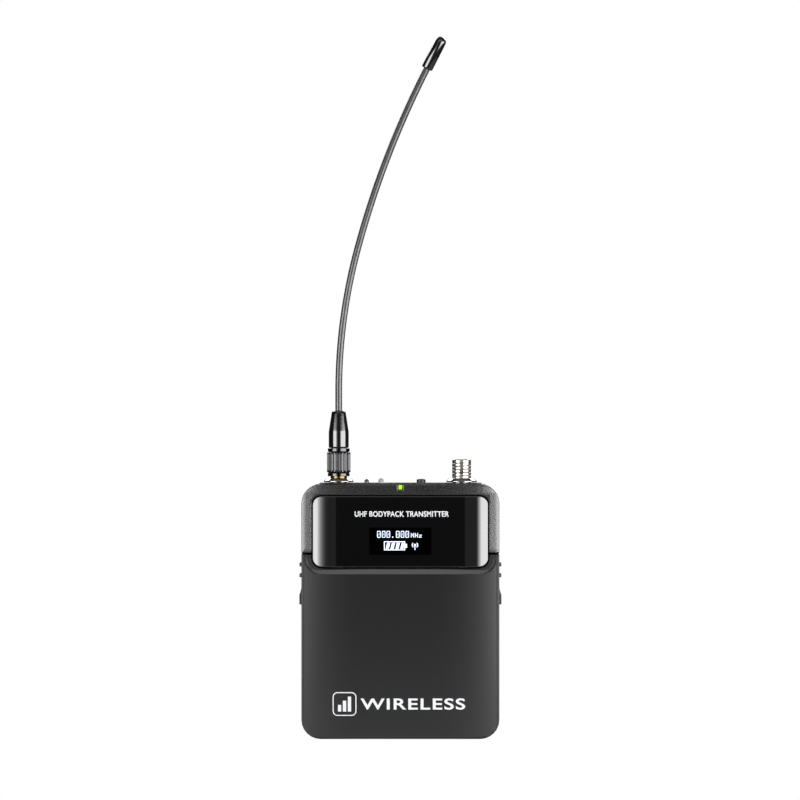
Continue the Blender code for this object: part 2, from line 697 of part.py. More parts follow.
def key(name, x):
    """A key cap with a flange that the panel holds in, and a short stem over its switch."""
    profile = [(0, 0), (2.2, 0.1), (KEY_RADIUS, 0.5), (KEY_RADIUS, 2.6)]
    profile += [(3.5, 2.6), (3.5, 3.2), (1.0, 3.2), (1.0, 3.6), (0, 3.6)]
    origin = (x, -8.9, KEY_Z)
    solid(name, turned(profile, origin, (0, 1, 0), 16), "grey_key", origin)


def key_switch(name, x):
    body = rectangle((x - 2.2, x + 2.2), (KEY_Z - 1.6, KEY_Z + 1.6), 0.3, 2)
    switch = solid(name, prism(body, "Y", BOARD_Y[0] - 1.0, BOARD_Y[0] - GAP), "switch_plastic")
    add(switch, rod((x, BOARD_Y[0] - 0.9, KEY_Z), 0.9, 0.5, (0, -1, 0), 16))


def screw_hole(x, z):
    """A hole through a thin plate in the front half, for a screw that runs along Y."""
    return rod((x, -12, z), SCREW_HOLE_RADIUS, 14, (0, 1, 0), 16)


def main_board():
    outline = rectangle((-BOARD_HALF_WIDTH, BOARD_HALF_WIDTH), BOARD_Z, 1.0, 2)
    board = solid("main_board", prism(outline, "Y", *BOARD_Y), "circuit_board")
    cut(board, both_sides(lambda x: screw_hole(x, BOARD_SCREW_Z), BOARD_SCREW_X))


def rf_shield():
    front = BOARD_Y[1] + GAP
    shield = solid("rf_shield", block((-16, 16), (front, front + 3.8), (60, 76)), "nickel")
    cut(shield, block((-15.5, 15.5), (front - 1, front + 3.3), (60.5, 75.5)))


def power_switch():
    back = BOARD_Y[1] + GAP
    switch = solid("power_switch", block((4.6, 9.3), (back, back + 3.4), (77.3, 80.3)), "switch_plastic")
    add(switch, rod((POWER_X, SMALL_PARTS_Y, 80.0), 0.7, 1.1, sides=16))


def power_button():
    top = 86.7
    profile = [
        (0, 81.7),
        (0.8, 81.7),
        (0.8, 82.1),
        (2.2, 82.1),
        (2.2, FLANGE_Z[1]),
        (POWER_RADIUS, FLANGE_Z[1]),
        (POWER_RADIUS, top - 0.45),
        (POWER_RADIUS - 0.15, top - 0.15),
        (POWER_RADIUS - 0.5, top),
        (0, top),
    ]
    origin = (POWER_X, SMALL_PARTS_Y, 0)
    solid("power_button", turned(profile, origin), "gloss_black", origin)


def lamp_lens(name, x, radius, top, finish):
    """A light guide from the board to the top, with a domed end and a flange under the case wall."""
    profile = [(0, 80.0), (radius, 80.0), (radius, 81.9), (radius + 0.55, 81.9), (radius + 0.55, FLANGE_Z[1])]
    profile.append((radius, FLANGE_Z[1]))
    for step in range(3):
        angle = math.pi / 2 * step / 3
        profile.append((radius * math.cos(angle), top - radius + radius * math.sin(angle)))
    profile.append((0, top))
    solid(name, turned(profile, (x, SMALL_PARTS_Y, 0), sides=12), finish)


def status_light_pipe():
    """An L-shaped light guide: a window in the frame's top front edge and a leg down to the board."""
    outline = [
        (-11.4, 83.4),
        (-8.3, 83.4),
        (-8.3, 80.0),
        (-7.0, 80.0),
        (-7.0, 84.3),
        (-9.9, 84.3),
        (-9.9, 84.85),
        (-11.4, 84.85),
    ]
    solid("status_light_pipe", prism(outline, "X", -0.6, 0.6), "green_light")


def antenna_jack():
    profile = [
        (0, 77.5),
        (0.6, 77.5),
        (0.6, FLANGE_Z[0]),
        (4.4, FLANGE_Z[0]),
        (4.4, FLANGE_Z[1]),
        (JACK_RADIUS, FLANGE_Z[1]),
        (JACK_RADIUS, 92.1),
        (JACK_RADIUS - 0.3, 92.4),
        (1.1, 92.4),
        (1.1, 88.0),
        (0, 88.0),
    ]
    solid("antenna_jack", turned(profile, (ANTENNA_X, 0, 0), sides=16), "gold")


def dress_nut(name, x, bore, outer):
    profile = [
        (bore, NUT_Z[0]),
        (outer, NUT_Z[0]),
        (outer, NUT_Z[0] + 0.45),
        (outer - 1.0, NUT_Z[1]),
        (bore, NUT_Z[1]),
    ]
    solid(name, turned(profile, (x, 0, 0), sides=24), "chrome")


def antenna_coupling_nut():
    """The knurled nut: a ring, the grip and a second ring, with a shoulder over the contact's flange."""
    bore = JACK_RADIUS + GAP
    profile = [
        (bore, 87.6),
        (3.65, 87.6),
        (3.65, 88.7),
        (3.98, 88.95),
        (3.98, 95.65),
        (3.65, 95.9),
        (3.65, 97.1),
        (1.9, 97.1),
        (1.9, 94.0),
        (bore, 94.0),
    ]
    axis = (ANTENNA_X, 0, 0)
    solid("antenna_coupling_nut", turned(profile, axis, sides=24), "gloss_black", axis)


def antenna_contact():
    """The antenna's core: a pin for the jack, a flange that the nut pulls on and a stem in the sleeve."""
    profile = [
        (0, 89.2),
        (0.5, 89.4),
        (0.5, 93.0),
        (2.6, 93.0),
        (2.6, 93.7),
        (1.6, 93.7),
        (1.6, 99.5),
        (0, 99.5),
    ]
    axis = (ANTENNA_X, 0, 0)
    solid("antenna_contact", turned(profile, axis, sides=12), "gold", axis)


def antenna_sleeve():
    profile = [
        (0, 99.8),
        (1.9, 99.8),
        (1.9, SLEEVE_Z[0]),
        (3.2, SLEEVE_Z[0]),
        (3.35, SLEEVE_Z[0] + 0.3),
        (3.35, 102.6),
        (2.35, SLEEVE_Z[1] - 0.7),
        (2.1, SLEEVE_Z[1] - 0.2),
        (WHIP_RADIUS + GAP + 0.25, SLEEVE_Z[1]),
        (WHIP_RADIUS + GAP, SLEEVE_Z[1] - 0.2),
        (WHIP_RADIUS + GAP, 104.5),
        (0, 104.5),
    ]
    axis = (ANTENNA_X, 0, 0)
    solid("antenna_sleeve", turned(profile, axis), "gloss_black", axis)


def whip_point(angle):
    """The whip's centre line where it leans by this angle from upright. The second bend is the wider."""
    lower = min(angle, LOWER_BEND_ANGLE)
    x = ANTENNA_X + LOWER_BEND_RADIUS * (1 - math.cos(lower))
    z = BEND_START_Z + LOWER_BEND_RADIUS * math.sin(lower)
    if angle > lower:
        x += UPPER_BEND_RADIUS * (math.cos(lower) - math.cos(angle))
        z += UPPER_BEND_RADIUS * (math.sin(angle) - math.sin(lower))
    return Vector((x, 0, z))


def tip_direction():
    return Vector((math.sin(BEND_ANGLE), 0, math.cos(BEND_ANGLE)))


def antenna_whip():
    steps = 28
    points = [(ANTENNA_X, 0, WHIP_START_Z)]
    points += [whip_point(BEND_ANGLE * step / steps) for step in range(steps + 1)]
    points.append(whip_point(BEND_ANGLE) + tip_direction() * (TIP_BORE_DEPTH - GAP))
    wire("antenna_whip", points, WHIP_RADIUS, "whip_jacket", (ANTENNA_X, 0, 0))


def antenna_tip():
    bore = WHIP_RADIUS + GAP
    profile = [(0, TIP_BORE_DEPTH), (bore, TIP_BORE_DEPTH), (bore, 0), (1.6, 0), (TIP_RADIUS, 0.3)]
    for step in range(4):
        angle = math.pi / 2 * step / 4
        height = TIP_LENGTH - TIP_RADIUS + TIP_RADIUS * math.sin(angle)
        profile.append((TIP_RADIUS * math.cos(angle), height))
    profile.append((0, TIP_LENGTH))
    mesh = turned(profile, whip_point(BEND_ANGLE), tip_direction())
    solid("antenna_tip", mesh, "gloss_black", (ANTENNA_X, 0, 0))


def antenna():
    antenna_jack()
    dress_nut("antenna_jack_nut", ANTENNA_X, JACK_RADIUS + GAP, 4.95)
    antenna_coupling_nut()
    antenna_contact()
    antenna_sleeve()
    antenna_whip()
    antenna_tip()


def mic_connector():
    """A threaded barrel with a key slot in front, an insulating insert and four pins."""
    profile = [
        (1.9, FLANGE_Z[0]),
        (4.6, FLANGE_Z[0]),
        (4.6, FLANGE_Z[1]),
        (MIC_RADIUS, FLANGE_Z[1]),
        (MIC_RADIUS, 93.05),
        (MIC_RADIUS - 0.25, 93.3),
        (2.45, 93.3),
        (2.45, 84.0),
        (1.9, 84.0),
    ]
    shell = solid("mic_connector_shell", turned(profile, (MIC_X, 0, 0), sides=24), "nickel")
    cut(shell, block((MIC_X - 0.5, MIC_X + 0.5), (-4.0, -1.5), (88.4, 94.0)))
    insert = solid("mic_connector_insert", rod((MIC_X, 0, 84.3), 2.15, 2.4, sides=16), "insulator")
    for number in range(4):
        angle = math.pi / 4 + math.pi / 2 * number
        x = MIC_X + PIN_CIRCLE_RADIUS * math.cos(angle)
        y = PIN_CIRCLE_RADIUS * math.sin(angle)
        cut(insert, rod((x, y, 83), PIN_RADIUS + 0.2, 5, sides=8))
        solid(f"mic_pin_{number + 1}", rod((x, y, 79.8), PIN_RADIUS, 11.7, sides=8), "gold")
    dress_nut("mic_connector_nut", MIC_X, MIC_RADIUS + GAP, 5.1)


def clip_side():
    """The clip's outline from the side, as (y, z) points from its pivot down to its foot."""
    corners = [
        (CLIP_PIVOT_Y, CLIP_PIVOT_Z - 2.0, 0),
        (CLIP_PIVOT_Y, 64.5, 3.0),
        (CLIP_OUTER_Y, 59.5, 5.0),
        (CLIP_OUTER_Y, 25.0, 5.0),
        (BACK_Y + GAP + CLIP_WIRE_RADIUS, 14.0, 4.0),
        (CLIP_PIVOT_Y + 1.4, 7.0, 0),
    ]
    return fillet(corners, 3)


def belt_clip():
    """A bent wire: two ends in the lugs, two legs down the back and a cross bar at the foot."""
    half = []
    bend = 2.0
    half.append((16.2, CLIP_PIVOT_Y, CLIP_PIVOT_Z))
    for step in range(4):
        angle = math.pi / 2 * step / 3
        x = CLIP_LEG_X + bend - bend * math.sin(angle)
        half.append((x, CLIP_PIVOT_Y, CLIP_PIVOT_Z - bend + bend * math.cos(angle)))
    side = clip_side()
    half += [(CLIP_LEG_X, y, z) for y, z in side[1:-1]]
    foot_y, foot_z = side[-1]
    foot_bend = 4.0
    for step in range(5):
        angle = math.pi / 2 * step / 4
        x = CLIP_LEG_X - foot_bend + foot_bend * math.cos(angle)
        drop = foot_bend * (1 - math.sin(angle))
        half.append((x, foot_y - drop * FOOT_SLOPE, foot_z + drop))
    mirrored = [(-x, y, z) for x, y, z in reversed(half)]
    wire("belt_clip", half + mirrored, CLIP_WIRE_RADIUS, "steel", (0, CLIP_PIVOT_Y, CLIP_PIVOT_Z))


def screw(name, seat, direction, length, head_radius=2.0, head_height=1.3):
    """A pan-head screw with a cross recess. It stands on its seat and points along the direction."""
    profile = [(0, length), (SCREW_RADIUS, length), (SCREW_RADIUS, 0), (head_radius, 0)]
    profile += [(head_radius, -head_height * 0.5), (head_radius * 0.7, -head_height), (0, -head_height)]
    piece = solid(name, turned(profile, seat, direction, 12), "steel")
    top = Vector(seat) - Vector(direction) * head_height
    y = (top.y - 0.7, top.y + 0.7)
    for half_x, half_z in ((1.1, 0.22), (0.22, 1.1)):
        recess = block((top.x - half_x, top.x + half_x), y, (top.z - half_z, top.z + half_z))
        cut(piece, recess)


def screws():
    seats = (
        ("frame_screw", FRAME_SCREW_X, 9.3, FRAME_SCREW_Z, -1, 16.5),
        ("panel_screw", PANEL_SCREW_X, PANEL_Y[0] - GAP, PANEL_SCREW_Z, 1, 7.0),
        ("board_screw", BOARD_SCREW_X, BOARD_Y[0] - GAP, BOARD_SCREW_Z, 1, 7.5),
    )
    for name, x, y, z, direction, length in seats:
        screw(f"{name}_1", (-x, y, z), (0, direction, 0), length)
        screw(f"{name}_2", (x, y, z), (0, direction, 0), length)


def keys():
    for name, x in (("down", -KEY_SPACING), ("set", 0.0), ("up", KEY_SPACING)):
        key(f"key_{name}", x)
        key_switch(f"key_switch_{name}", x)


def main():
    clear_scene()
    rear_case()
    front_frame()
    display_window()
    window_gasket()
    oled_display()
    battery_door()
    hinge_pin()
    top_plate()
    for name, side in (("left", -1), ("right", 1)):
        release_button(f"release_button_{name}", side)
        release_spring(f"release_spring_{name}", side)
    battery_bay()
    control_panel()
    keys()
    main_board()
    rf_shield()
    power_switch()
    power_button()
    lamp_lens("audio_lamp_lens", AUDIO_LAMP_X, AUDIO_LAMP_RADIUS, 87.0, "clear_lens")
    lamp_lens("input_lamp_lens", INPUT_LAMP_X, INPUT_LAMP_RADIUS, 86.7, "dark_lens")
    status_light_pipe()
    antenna()
    mic_connector()
    belt_clip()
    screws()


main()
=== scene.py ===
import json
import math

import bmesh
import bpy
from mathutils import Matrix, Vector

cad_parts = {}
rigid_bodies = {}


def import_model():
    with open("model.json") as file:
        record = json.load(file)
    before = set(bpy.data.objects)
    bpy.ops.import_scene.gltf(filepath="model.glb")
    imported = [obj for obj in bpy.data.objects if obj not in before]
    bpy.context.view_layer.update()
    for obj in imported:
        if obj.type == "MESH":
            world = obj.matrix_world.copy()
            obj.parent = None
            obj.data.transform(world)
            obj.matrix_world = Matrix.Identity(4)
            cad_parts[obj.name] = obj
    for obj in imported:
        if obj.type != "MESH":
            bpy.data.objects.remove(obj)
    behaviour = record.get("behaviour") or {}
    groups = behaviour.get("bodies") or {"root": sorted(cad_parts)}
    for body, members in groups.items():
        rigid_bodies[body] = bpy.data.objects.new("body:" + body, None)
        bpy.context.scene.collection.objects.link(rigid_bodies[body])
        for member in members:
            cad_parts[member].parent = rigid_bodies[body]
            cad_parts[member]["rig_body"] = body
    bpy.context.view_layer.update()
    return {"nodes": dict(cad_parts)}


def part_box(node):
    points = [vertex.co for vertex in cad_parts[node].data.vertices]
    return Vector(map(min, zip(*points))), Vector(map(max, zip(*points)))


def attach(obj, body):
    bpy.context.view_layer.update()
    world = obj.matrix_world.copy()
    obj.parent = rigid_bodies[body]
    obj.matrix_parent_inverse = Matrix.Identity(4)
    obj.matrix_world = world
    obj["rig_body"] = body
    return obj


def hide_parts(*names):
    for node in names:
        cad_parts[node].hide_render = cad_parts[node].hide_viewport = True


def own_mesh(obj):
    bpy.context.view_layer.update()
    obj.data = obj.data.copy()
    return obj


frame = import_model()
NODES = frame["nodes"]

# lengths are in millimetres; x is across, y is depth with the front at -y, z is up
MM = 0.001
WELD = 1e-7

# the crowned front of the frame and door, and where their front skins begin
HALF_WIDTH = 33.0
CROWN = 1.34
CROWN_FLAT = 9.0
CROWN_POWER = 2.4
FRAME_SKIN_Y = -10.6
FRAME_EDGE_X = 26.0
FRAME_EDGE = 0.2
DOOR_SKIN_Y = -10.9
DOOR_INNER_Y = -10.3

# the slope under the window
SCOOP_CORNER = (26.3, 60.5)
SCOOP_REACH = 5.45
SCOOP_INNER = 3.35
SCOOP_DEPTH = 0.85
SCOOP_FADE = 2.0
SCOOP_LIMIT = 1.36

# the window
WINDOW_HALF_WIDTH = 29.3
WINDOW_FLAT = 21.5
WINDOW_Z = (57.5, 81.1)
WINDOW_FRONT = -11.78
WINDOW_SKIN_Y = -11.0
WINDOW_BACK = -10.4
WINDOW_CORNER = 3.0

# print and display figures
INK_FRONT = -11.8
INK_BACK = -11.494
INK_THICKNESS = 0.02
LETTER_THICKNESS = 0.01
CAP_HEIGHT = 0.7
SIGN_CENTRE = (-18.6, 11.9)
FIGURE_Z = 67.3
FIGURE_STEP = 1.57

# top parts
ANTENNA_X = -20.65
MIC_X = 20.5
SMALL_PARTS_Y = 0.4
NUT_Z = (85.65, 87.0)
GRIP_RADIUS = 3.98
FLUTE_FLOOR = 3.7
FLUTES = 18
FLUTE_DEPTH = 0.42
BEND_START_Z = 116.0
LOWER_BEND_RADIUS = 184.0
UPPER_BEND_RADIUS = 310.0
LOWER_BEND_ANGLE = math.radians(15.0)
BEND_ANGLE = math.radians(27.0)
WHIP_RADIUS = 1.15
TIP_RADIUS = 1.9
TIP_LENGTH = 11.9
THREAD_Z = (87.3, 92.3)
THREAD_PITCH = 1.1
THREAD_DEPTH = 0.13
BARREL_RADIUS = 3.15
BARREL_TOP = 92.95

# back and inside
CLIP_PIVOT = (14.2, 69.0)
CELL_LENGTH = 50.5
CELL_RADIUS = 7.25
CELL_Y = 1.2

STAGE_SIDES = 48


# ---------------------------------------------------------------- materials


def new_material(name, colour, rough, metallic=0.0, ior=1.5, coat=0.0, coat_rough=0.05):
    """A material whose values are the even ones; the noise below then varies colour and roughness."""
    mat = bpy.data.materials.new(name)
    mat.use_nodes = True
    shader = mat.node_tree.nodes["Principled BSDF"]
    shader.inputs["Base Color"].default_value = (*colour, 1)
    shader.inputs["Roughness"].default_value = rough
    shader.inputs["Metallic"].default_value = metallic
    shader.inputs["IOR"].default_value = ior
    shader.inputs["Coat Weight"].default_value = coat
    shader.inputs["Coat Roughness"].default_value = coat_rough
    return mat


def add_node(mat, kind, **values):
    node = mat.node_tree.nodes.new(kind)
    for key, value in values.items():
        if key in node.inputs:
            node.inputs[key].default_value = value
        else:
            setattr(node, key, value)
    return node


def coordinates(mat, scale=(1, 1, 1)):
    """Object coordinates, stretched by scale."""
    place = add_node(mat, "ShaderNodeTexCoord")
    mapping = add_node(mat, "ShaderNodeMapping")
    mapping.inputs["Scale"].default_value = scale
    mat.node_tree.links.new(place.outputs["Object"], mapping.inputs["Vector"])
    return mapping.outputs["Vector"]


def noise(mat, scale, detail=3.0, rough=0.55, stretch=(1, 1, 1)):
    node = add_node(mat, "ShaderNodeTexNoise", Scale=scale, Detail=detail, Roughness=rough)
    mat.node_tree.links.new(coordinates(mat, stretch), node.inputs["Vector"])
    return node.outputs["Fac"]


def ramp(mat, value, low, high, first=0.35, last=0.65):
    """Blends between two colours as value goes from first to last."""
    node = add_node(mat, "ShaderNodeValToRGB")
    stops = node.color_ramp.elements
    stops[0].position, stops[0].color = first, (*low, 1)
    stops[1].position, stops[1].color = last, (*high, 1)
    mat.node_tree.links.new(value, node.inputs["Fac"])
    return node.outputs["Color"]


def shader_of(mat):
    return mat.node_tree.nodes["Principled BSDF"]


def colour_noise(mat, low, high, scale, **options):
    colour = ramp(mat, noise(mat, scale, **options), low, high)
    mat.node_tree.links.new(colour, shader_of(mat).inputs["Base Color"])
    return colour


def rough_noise(mat, low, high, scale, **options):
    node = add_node(mat, "ShaderNodeMapRange")
    node.inputs["From Min"].default_value = 0.3
    node.inputs["From Max"].default_value = 0.7
    node.inputs["To Min"].default_value = low
    node.inputs["To Max"].default_value = high
    mat.node_tree.links.new(noise(mat, scale, **options), node.inputs["Value"])
    mat.node_tree.links.new(node.outputs["Result"], shader_of(mat).inputs["Roughness"])


def bump(mat, height, distance, strength, before=None):
    node = add_node(mat, "ShaderNodeBump", Strength=strength, Distance=distance)
    mat.node_tree.links.new(height, node.inputs["Height"])
    if before is not None:
        mat.node_tree.links.new(before, node.inputs["Normal"])
    mat.node_tree.links.new(node.outputs["Normal"], shader_of(mat).inputs["Normal"])
    return node.outputs["Normal"]


def textured_case():
    mat = new_material("textured_case", (0.0045, 0.0045, 0.0048), 0.27, ior=1.8)
    colour_noise(mat, (0.003, 0.003, 0.0032), (0.006, 0.0061, 0.0065), 2600, detail=2)
    rough_noise(mat, 0.24, 0.31, 2400)
    fine = bump(mat, noise(mat, 2800, detail=2, rough=0.6), 0.00004, 1.0)
    bump(mat, noise(mat, 1500, detail=2), 0.00001, 0.5, fine)
    return mat


def door_satin():
    mat = new_material("door_satin", (0.003, 0.003, 0.0032), 0.25, ior=1.8)
    colour_noise(mat, (0.0020, 0.0020, 0.0022), (0.0030, 0.0030, 0.0033), 3600, detail=2)
    rough_noise(mat, 0.245, 0.27, 4200, detail=2)
    bump(mat, noise(mat, 5200, detail=2), 0.000006, 0.4)
    return mat


def window_material():
    """Gloss black, with a lighter base colour on the sides past its flat middle, where they bend back:
    painted light for the brighter sides.
    """
    mat = new_material("window_gloss", (0.004, 0.004, 0.005), 0.03, ior=1.8)
    place = add_node(mat, "ShaderNodeTexCoord")
    split = add_node(mat, "ShaderNodeSeparateXYZ")
    side = add_node(mat, "ShaderNodeMath", operation="ABSOLUTE")
    links = mat.node_tree.links
    links.new(place.outputs["Object"], split.inputs["Vector"])
    links.new(split.outputs["X"], side.inputs[0])
    # painted light: past WINDOW_FLAT the base colour steps up, standing in for the brighter reflections on
    # the bent-back sides
    step = add_node(mat, "ShaderNodeMapRange")
    step.inputs["From Min"].default_value = (WINDOW_FLAT - 0.15) * MM
    step.inputs["From Max"].default_value = (WINDOW_FLAT + 0.15) * MM
    links.new(side.outputs[0], step.inputs["Value"])
    colour = ramp(mat, step.outputs["Result"], (0.0024, 0.0024, 0.0026), (0.0095, 0.0095, 0.0102), 0, 1)
    links.new(colour, shader_of(mat).inputs["Base Color"])
    rough_noise(mat, 0.03, 0.06, 300)
    return mat


def gloss_black():
    mat = new_material("gloss_black", (0.005, 0.005, 0.0055), 0.12, ior=1.8)
    rough_noise(mat, 0.10, 0.15, 900)
    bump(mat, noise(mat, 300, detail=2), 0.000004, 0.3)
    return mat


def black_chrome():
    mat = new_material("black_chrome", (0.055, 0.055, 0.058), 0.17, metallic=1.0)
    colour_noise(mat, (0.05, 0.05, 0.052), (0.06, 0.06, 0.062), 1500)
    rough_noise(mat, 0.16, 0.18, 1500, stretch=(1, 1, 0.1))
    return mat


def matte_black():
    mat = new_material("matte_black", (0.003, 0.003, 0.0033), 0.42)
    colour_noise(mat, (0.0022, 0.0022, 0.0024), (0.0045, 0.0045, 0.0048), 700)
    rough_noise(mat, 0.36, 0.48, 1200)
    bump(mat, noise(mat, 3000, detail=2), 0.00001, 0.5)
    return mat


def whip_rubber():
    mat = new_material("whip_rubber", (0.034, 0.034, 0.035), 0.3, ior=1.6)
    colour_noise(mat, (0.030, 0.030, 0.031), (0.039, 0.039, 0.040), 500, stretch=(1, 1, 0.2))
    rough_noise(mat, 0.24, 0.32, 900, stretch=(1, 1, 0.3))
    bump(mat, noise(mat, 2500, detail=2, stretch=(1, 1, 0.12)), 0.00001, 0.5)
    return mat


def plated(name, low, high, rough_low, rough_high):
    """Turned and plated metal: fine rings across the part, from noise stretched round the axis."""
    mat = new_material(name, high, rough_low, metallic=1.0)
    colour_noise(mat, low, high, 600)
    rough_noise(mat, rough_low, rough_high, 1600)
    bump(mat, noise(mat, 900, detail=3, stretch=(0.1, 0.1, 6)), 0.000008, 0.5)
    return mat


def steel_wire():
    mat = new_material("steel_wire", (0.42, 0.42, 0.43), 0.3, metallic=1.0)
    colour_noise(mat, (0.34, 0.34, 0.35), (0.48, 0.48, 0.49), 700, stretch=(1, 1, 0.1))
    rough_noise(mat, 0.24, 0.4, 1500, stretch=(1, 1, 0.08))
    bump(mat, noise(mat, 3000, detail=3, stretch=(1, 1, 0.05)), 0.00001, 0.6)
    return mat


def circuit_board():
    mat = new_material("circuit_board", (0.01, 0.08, 0.03), 0.35, coat=0.4, coat_rough=0.2)
    colour_noise(mat, (0.006, 0.055, 0.02), (0.015, 0.1, 0.04), 350)
    rough_noise(mat, 0.3, 0.45, 900)
    bump(mat, noise(mat, 1500, detail=2), 0.00002, 0.6)
    return mat


def soft_foam():
    mat = new_material("soft_foam", (0.012, 0.012, 0.012), 0.9)
    colour_noise(mat, (0.008, 0.008, 0.008), (0.02, 0.02, 0.02), 2500)
    rough_noise(mat, 0.8, 0.95, 800)
    bump(mat, noise(mat, 2800, detail=2), 0.00008, 0.9)
    return mat


def grey_rubber():
    mat = new_material("grey_rubber", (0.22, 0.22, 0.23), 0.6)
    colour_noise(mat, (0.19, 0.19, 0.20), (0.26, 0.26, 0.27), 700)
    rough_noise(mat, 0.52, 0.68, 900)
    bump(mat, noise(mat, 3200, detail=2), 0.00002, 0.7)
    return mat


def switch_plastic():
    mat = new_material("switch_plastic", (0.05, 0.05, 0.05), 0.45)
    colour_noise(mat, (0.04, 0.04, 0.04), (0.07, 0.07, 0.07), 900)
    rough_noise(mat, 0.38, 0.55, 900)
    bump(mat, noise(mat, 2600, detail=2), 0.00002, 0.6)
    return mat


def cell_jacket():
    """A dark foil jacket; the copper end of the cell has its own material."""
    mat = new_material("cell_jacket", (0.02, 0.02, 0.024), 0.25, metallic=0.6, coat=0.5)
    colour_noise(mat, (0.016, 0.017, 0.022), (0.03, 0.031, 0.038), 300)
    rough_noise(mat, 0.2, 0.32, 900)
    bump(mat, noise(mat, 1200, detail=3), 0.00001, 0.5)
    return mat


def copper_band():
    mat = new_material("copper_band", (0.55, 0.28, 0.14), 0.25, metallic=1.0)
    colour_noise(mat, (0.48, 0.24, 0.11), (0.62, 0.33, 0.17), 500)
    rough_noise(mat, 0.2, 0.32, 900)
    bump(mat, noise(mat, 1200, detail=3), 0.00001, 0.5)
    return mat


def clear_lens():
    mat = new_material("clear_lens", (0.3, 0.3, 0.31), 0.12)
    colour_noise(mat, (0.24, 0.245, 0.25), (0.34, 0.345, 0.35), 600)
    rough_noise(mat, 0.05, 0.12, 900)
    return mat


def dark_lens():
    mat = new_material("dark_lens", (0.014, 0.009, 0.009), 0.12)
    colour_noise(mat, (0.011, 0.007, 0.007), (0.018, 0.011, 0.011), 600)
    rough_noise(mat, 0.07, 0.16, 900)
    return mat


def lit(name, low, high, strength, scale):
    """A lit surface: its colour varies a little, as light does across a diffuser."""
    mat = new_material(name, high, 0.3)
    colour = colour_noise(mat, low, high, scale)
    mat.node_tree.links.new(colour, shader_of(mat).inputs["Emission Color"])
    shader_of(mat).inputs["Emission Strength"].default_value = strength
    rough_noise(mat, 0.25, 0.4, 900)
    return mat


def white_ink():
    mat = new_material("white_ink", (0.64, 0.645, 0.66), 0.5)
    colour_noise(mat, (0.60, 0.605, 0.62), (0.68, 0.685, 0.70), 1800)
    rough_noise(mat, 0.42, 0.58, 1500)
    bump(mat, noise(mat, 4000, detail=2), 0.000004, 0.5)
    return mat


def screen_black():
    """The display's own face, the darkest part of the front."""
    mat = new_material("screen_black", (0.0002, 0.0002, 0.0003), 0.05, ior=1.35)
    colour_noise(mat, (0.0001, 0.0001, 0.0001), (0.0004, 0.0004, 0.0005), 900)
    rough_noise(mat, 0.04, 0.07, 300)
    return mat


CASE = textured_case()
DOOR = door_satin()
PAINTED_SIDE_WINDOW = window_material()
GLOSS = gloss_black()
BLACK_CHROME = black_chrome()
MATTE = matte_black()
WHIP = whip_rubber()
CHROME = plated("chrome", (0.27, 0.27, 0.265), (0.33, 0.33, 0.325), 0.14, 0.19)
NICKEL = plated("nickel", (0.34, 0.32, 0.29), (0.40, 0.38, 0.35), 0.3, 0.37)
# painted shade: the gold's base colour is darkened for the shade on the jack's neck under the coupling nut,
# and every gold part takes it
SHADE_DARKENED_GOLD = plated("gold", (0.13, 0.09, 0.035), (0.18, 0.125, 0.05), 0.2, 0.3)
STEEL = steel_wire()
BOARD = circuit_board()
FOAM = soft_foam()
GREY_KEY = grey_rubber()
SWITCH = switch_plastic()
CELL = cell_jacket()
COPPER = copper_band()
CLEAR = clear_lens()
DARK = dark_lens()
GREEN = lit("green_light", (0.20, 0.48, 0.0), (0.34, 0.62, 0.005), 0.4, 1500)
OLED = lit("oled_light", (0.62, 0.70, 0.92), (0.78, 0.84, 1.0), 0.4, 2500)
INK = white_ink()
SCREEN = screen_black()


# ------------------------------------------------------------------- shapes


def finish_piece(obj, material, body, replaced=()):
    """Gives a piece its material, hides the CAD nodes it stands for, and attaches it to the body it rides
    on.
    """
    obj.data.materials.clear()
    obj.data.materials.append(material)
    if replaced:
        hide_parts(*replaced)
    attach(obj, body)
    return obj


def mesh_object(name, verts, faces, angle=35):
    """A new mesh object from points in millimetres, smooth except at its corners."""
    mesh = bpy.data.meshes.new(name)
    mesh.from_pydata([[c * MM for c in v] for v in verts], [], faces)
    work = bmesh.new()
    work.from_mesh(mesh)
    bmesh.ops.remove_doubles(work, verts=work.verts, dist=WELD)
    bmesh.ops.recalc_face_normals(work, faces=work.faces)
    work.to_mesh(mesh)
    work.free()
    return link_smooth(name, mesh, angle)


def smooth(mesh, angle=35):
    """Smooth shading, except across edges sharper than angle."""
    mesh.polygons.foreach_set("use_smooth", [True] * len(mesh.polygons))
    mesh.set_sharp_from_angle(angle=math.radians(angle))


def link_smooth(name, mesh, angle=35):
    """Puts a mesh in the scene as a smooth-shaded object."""
    smooth(mesh, angle)
    obj = bpy.data.objects.new(name, mesh)
    bpy.context.scene.collection.objects.link(obj)
    return obj


def revolve(name, profile, base, direction=(0, 0, 1), sides=128, angle=50, shape=None):
    """Turns (radius, height) points about an axis through base. shape may change each radius."""
    turn = Vector((0, 0, 1)).rotation_difference(Vector(direction))
    verts, faces = [], []
    for radius, height in profile:
        for i in range(sides):
            a = 2 * math.pi * i / sides
            r = shape(radius, height, a) if shape else radius
            verts.append(Vector(base) + turn @ Vector((r * math.cos(a), r * math.sin(a), height)))
    for row in range(len(profile) - 1):
        for i in range(sides):
            j = (i + 1) % sides
            a, b = row * sides, (row + 1) * sides
            faces.append((a + i, a + j, b + j, b + i))
    for row in (0, len(profile) - 1):
        if profile[row][0] > 0.001 and profile[0] != profile[-1]:
            faces.append([row * sides + i for i in range(sides)])
    return mesh_object(name, verts, faces, angle)


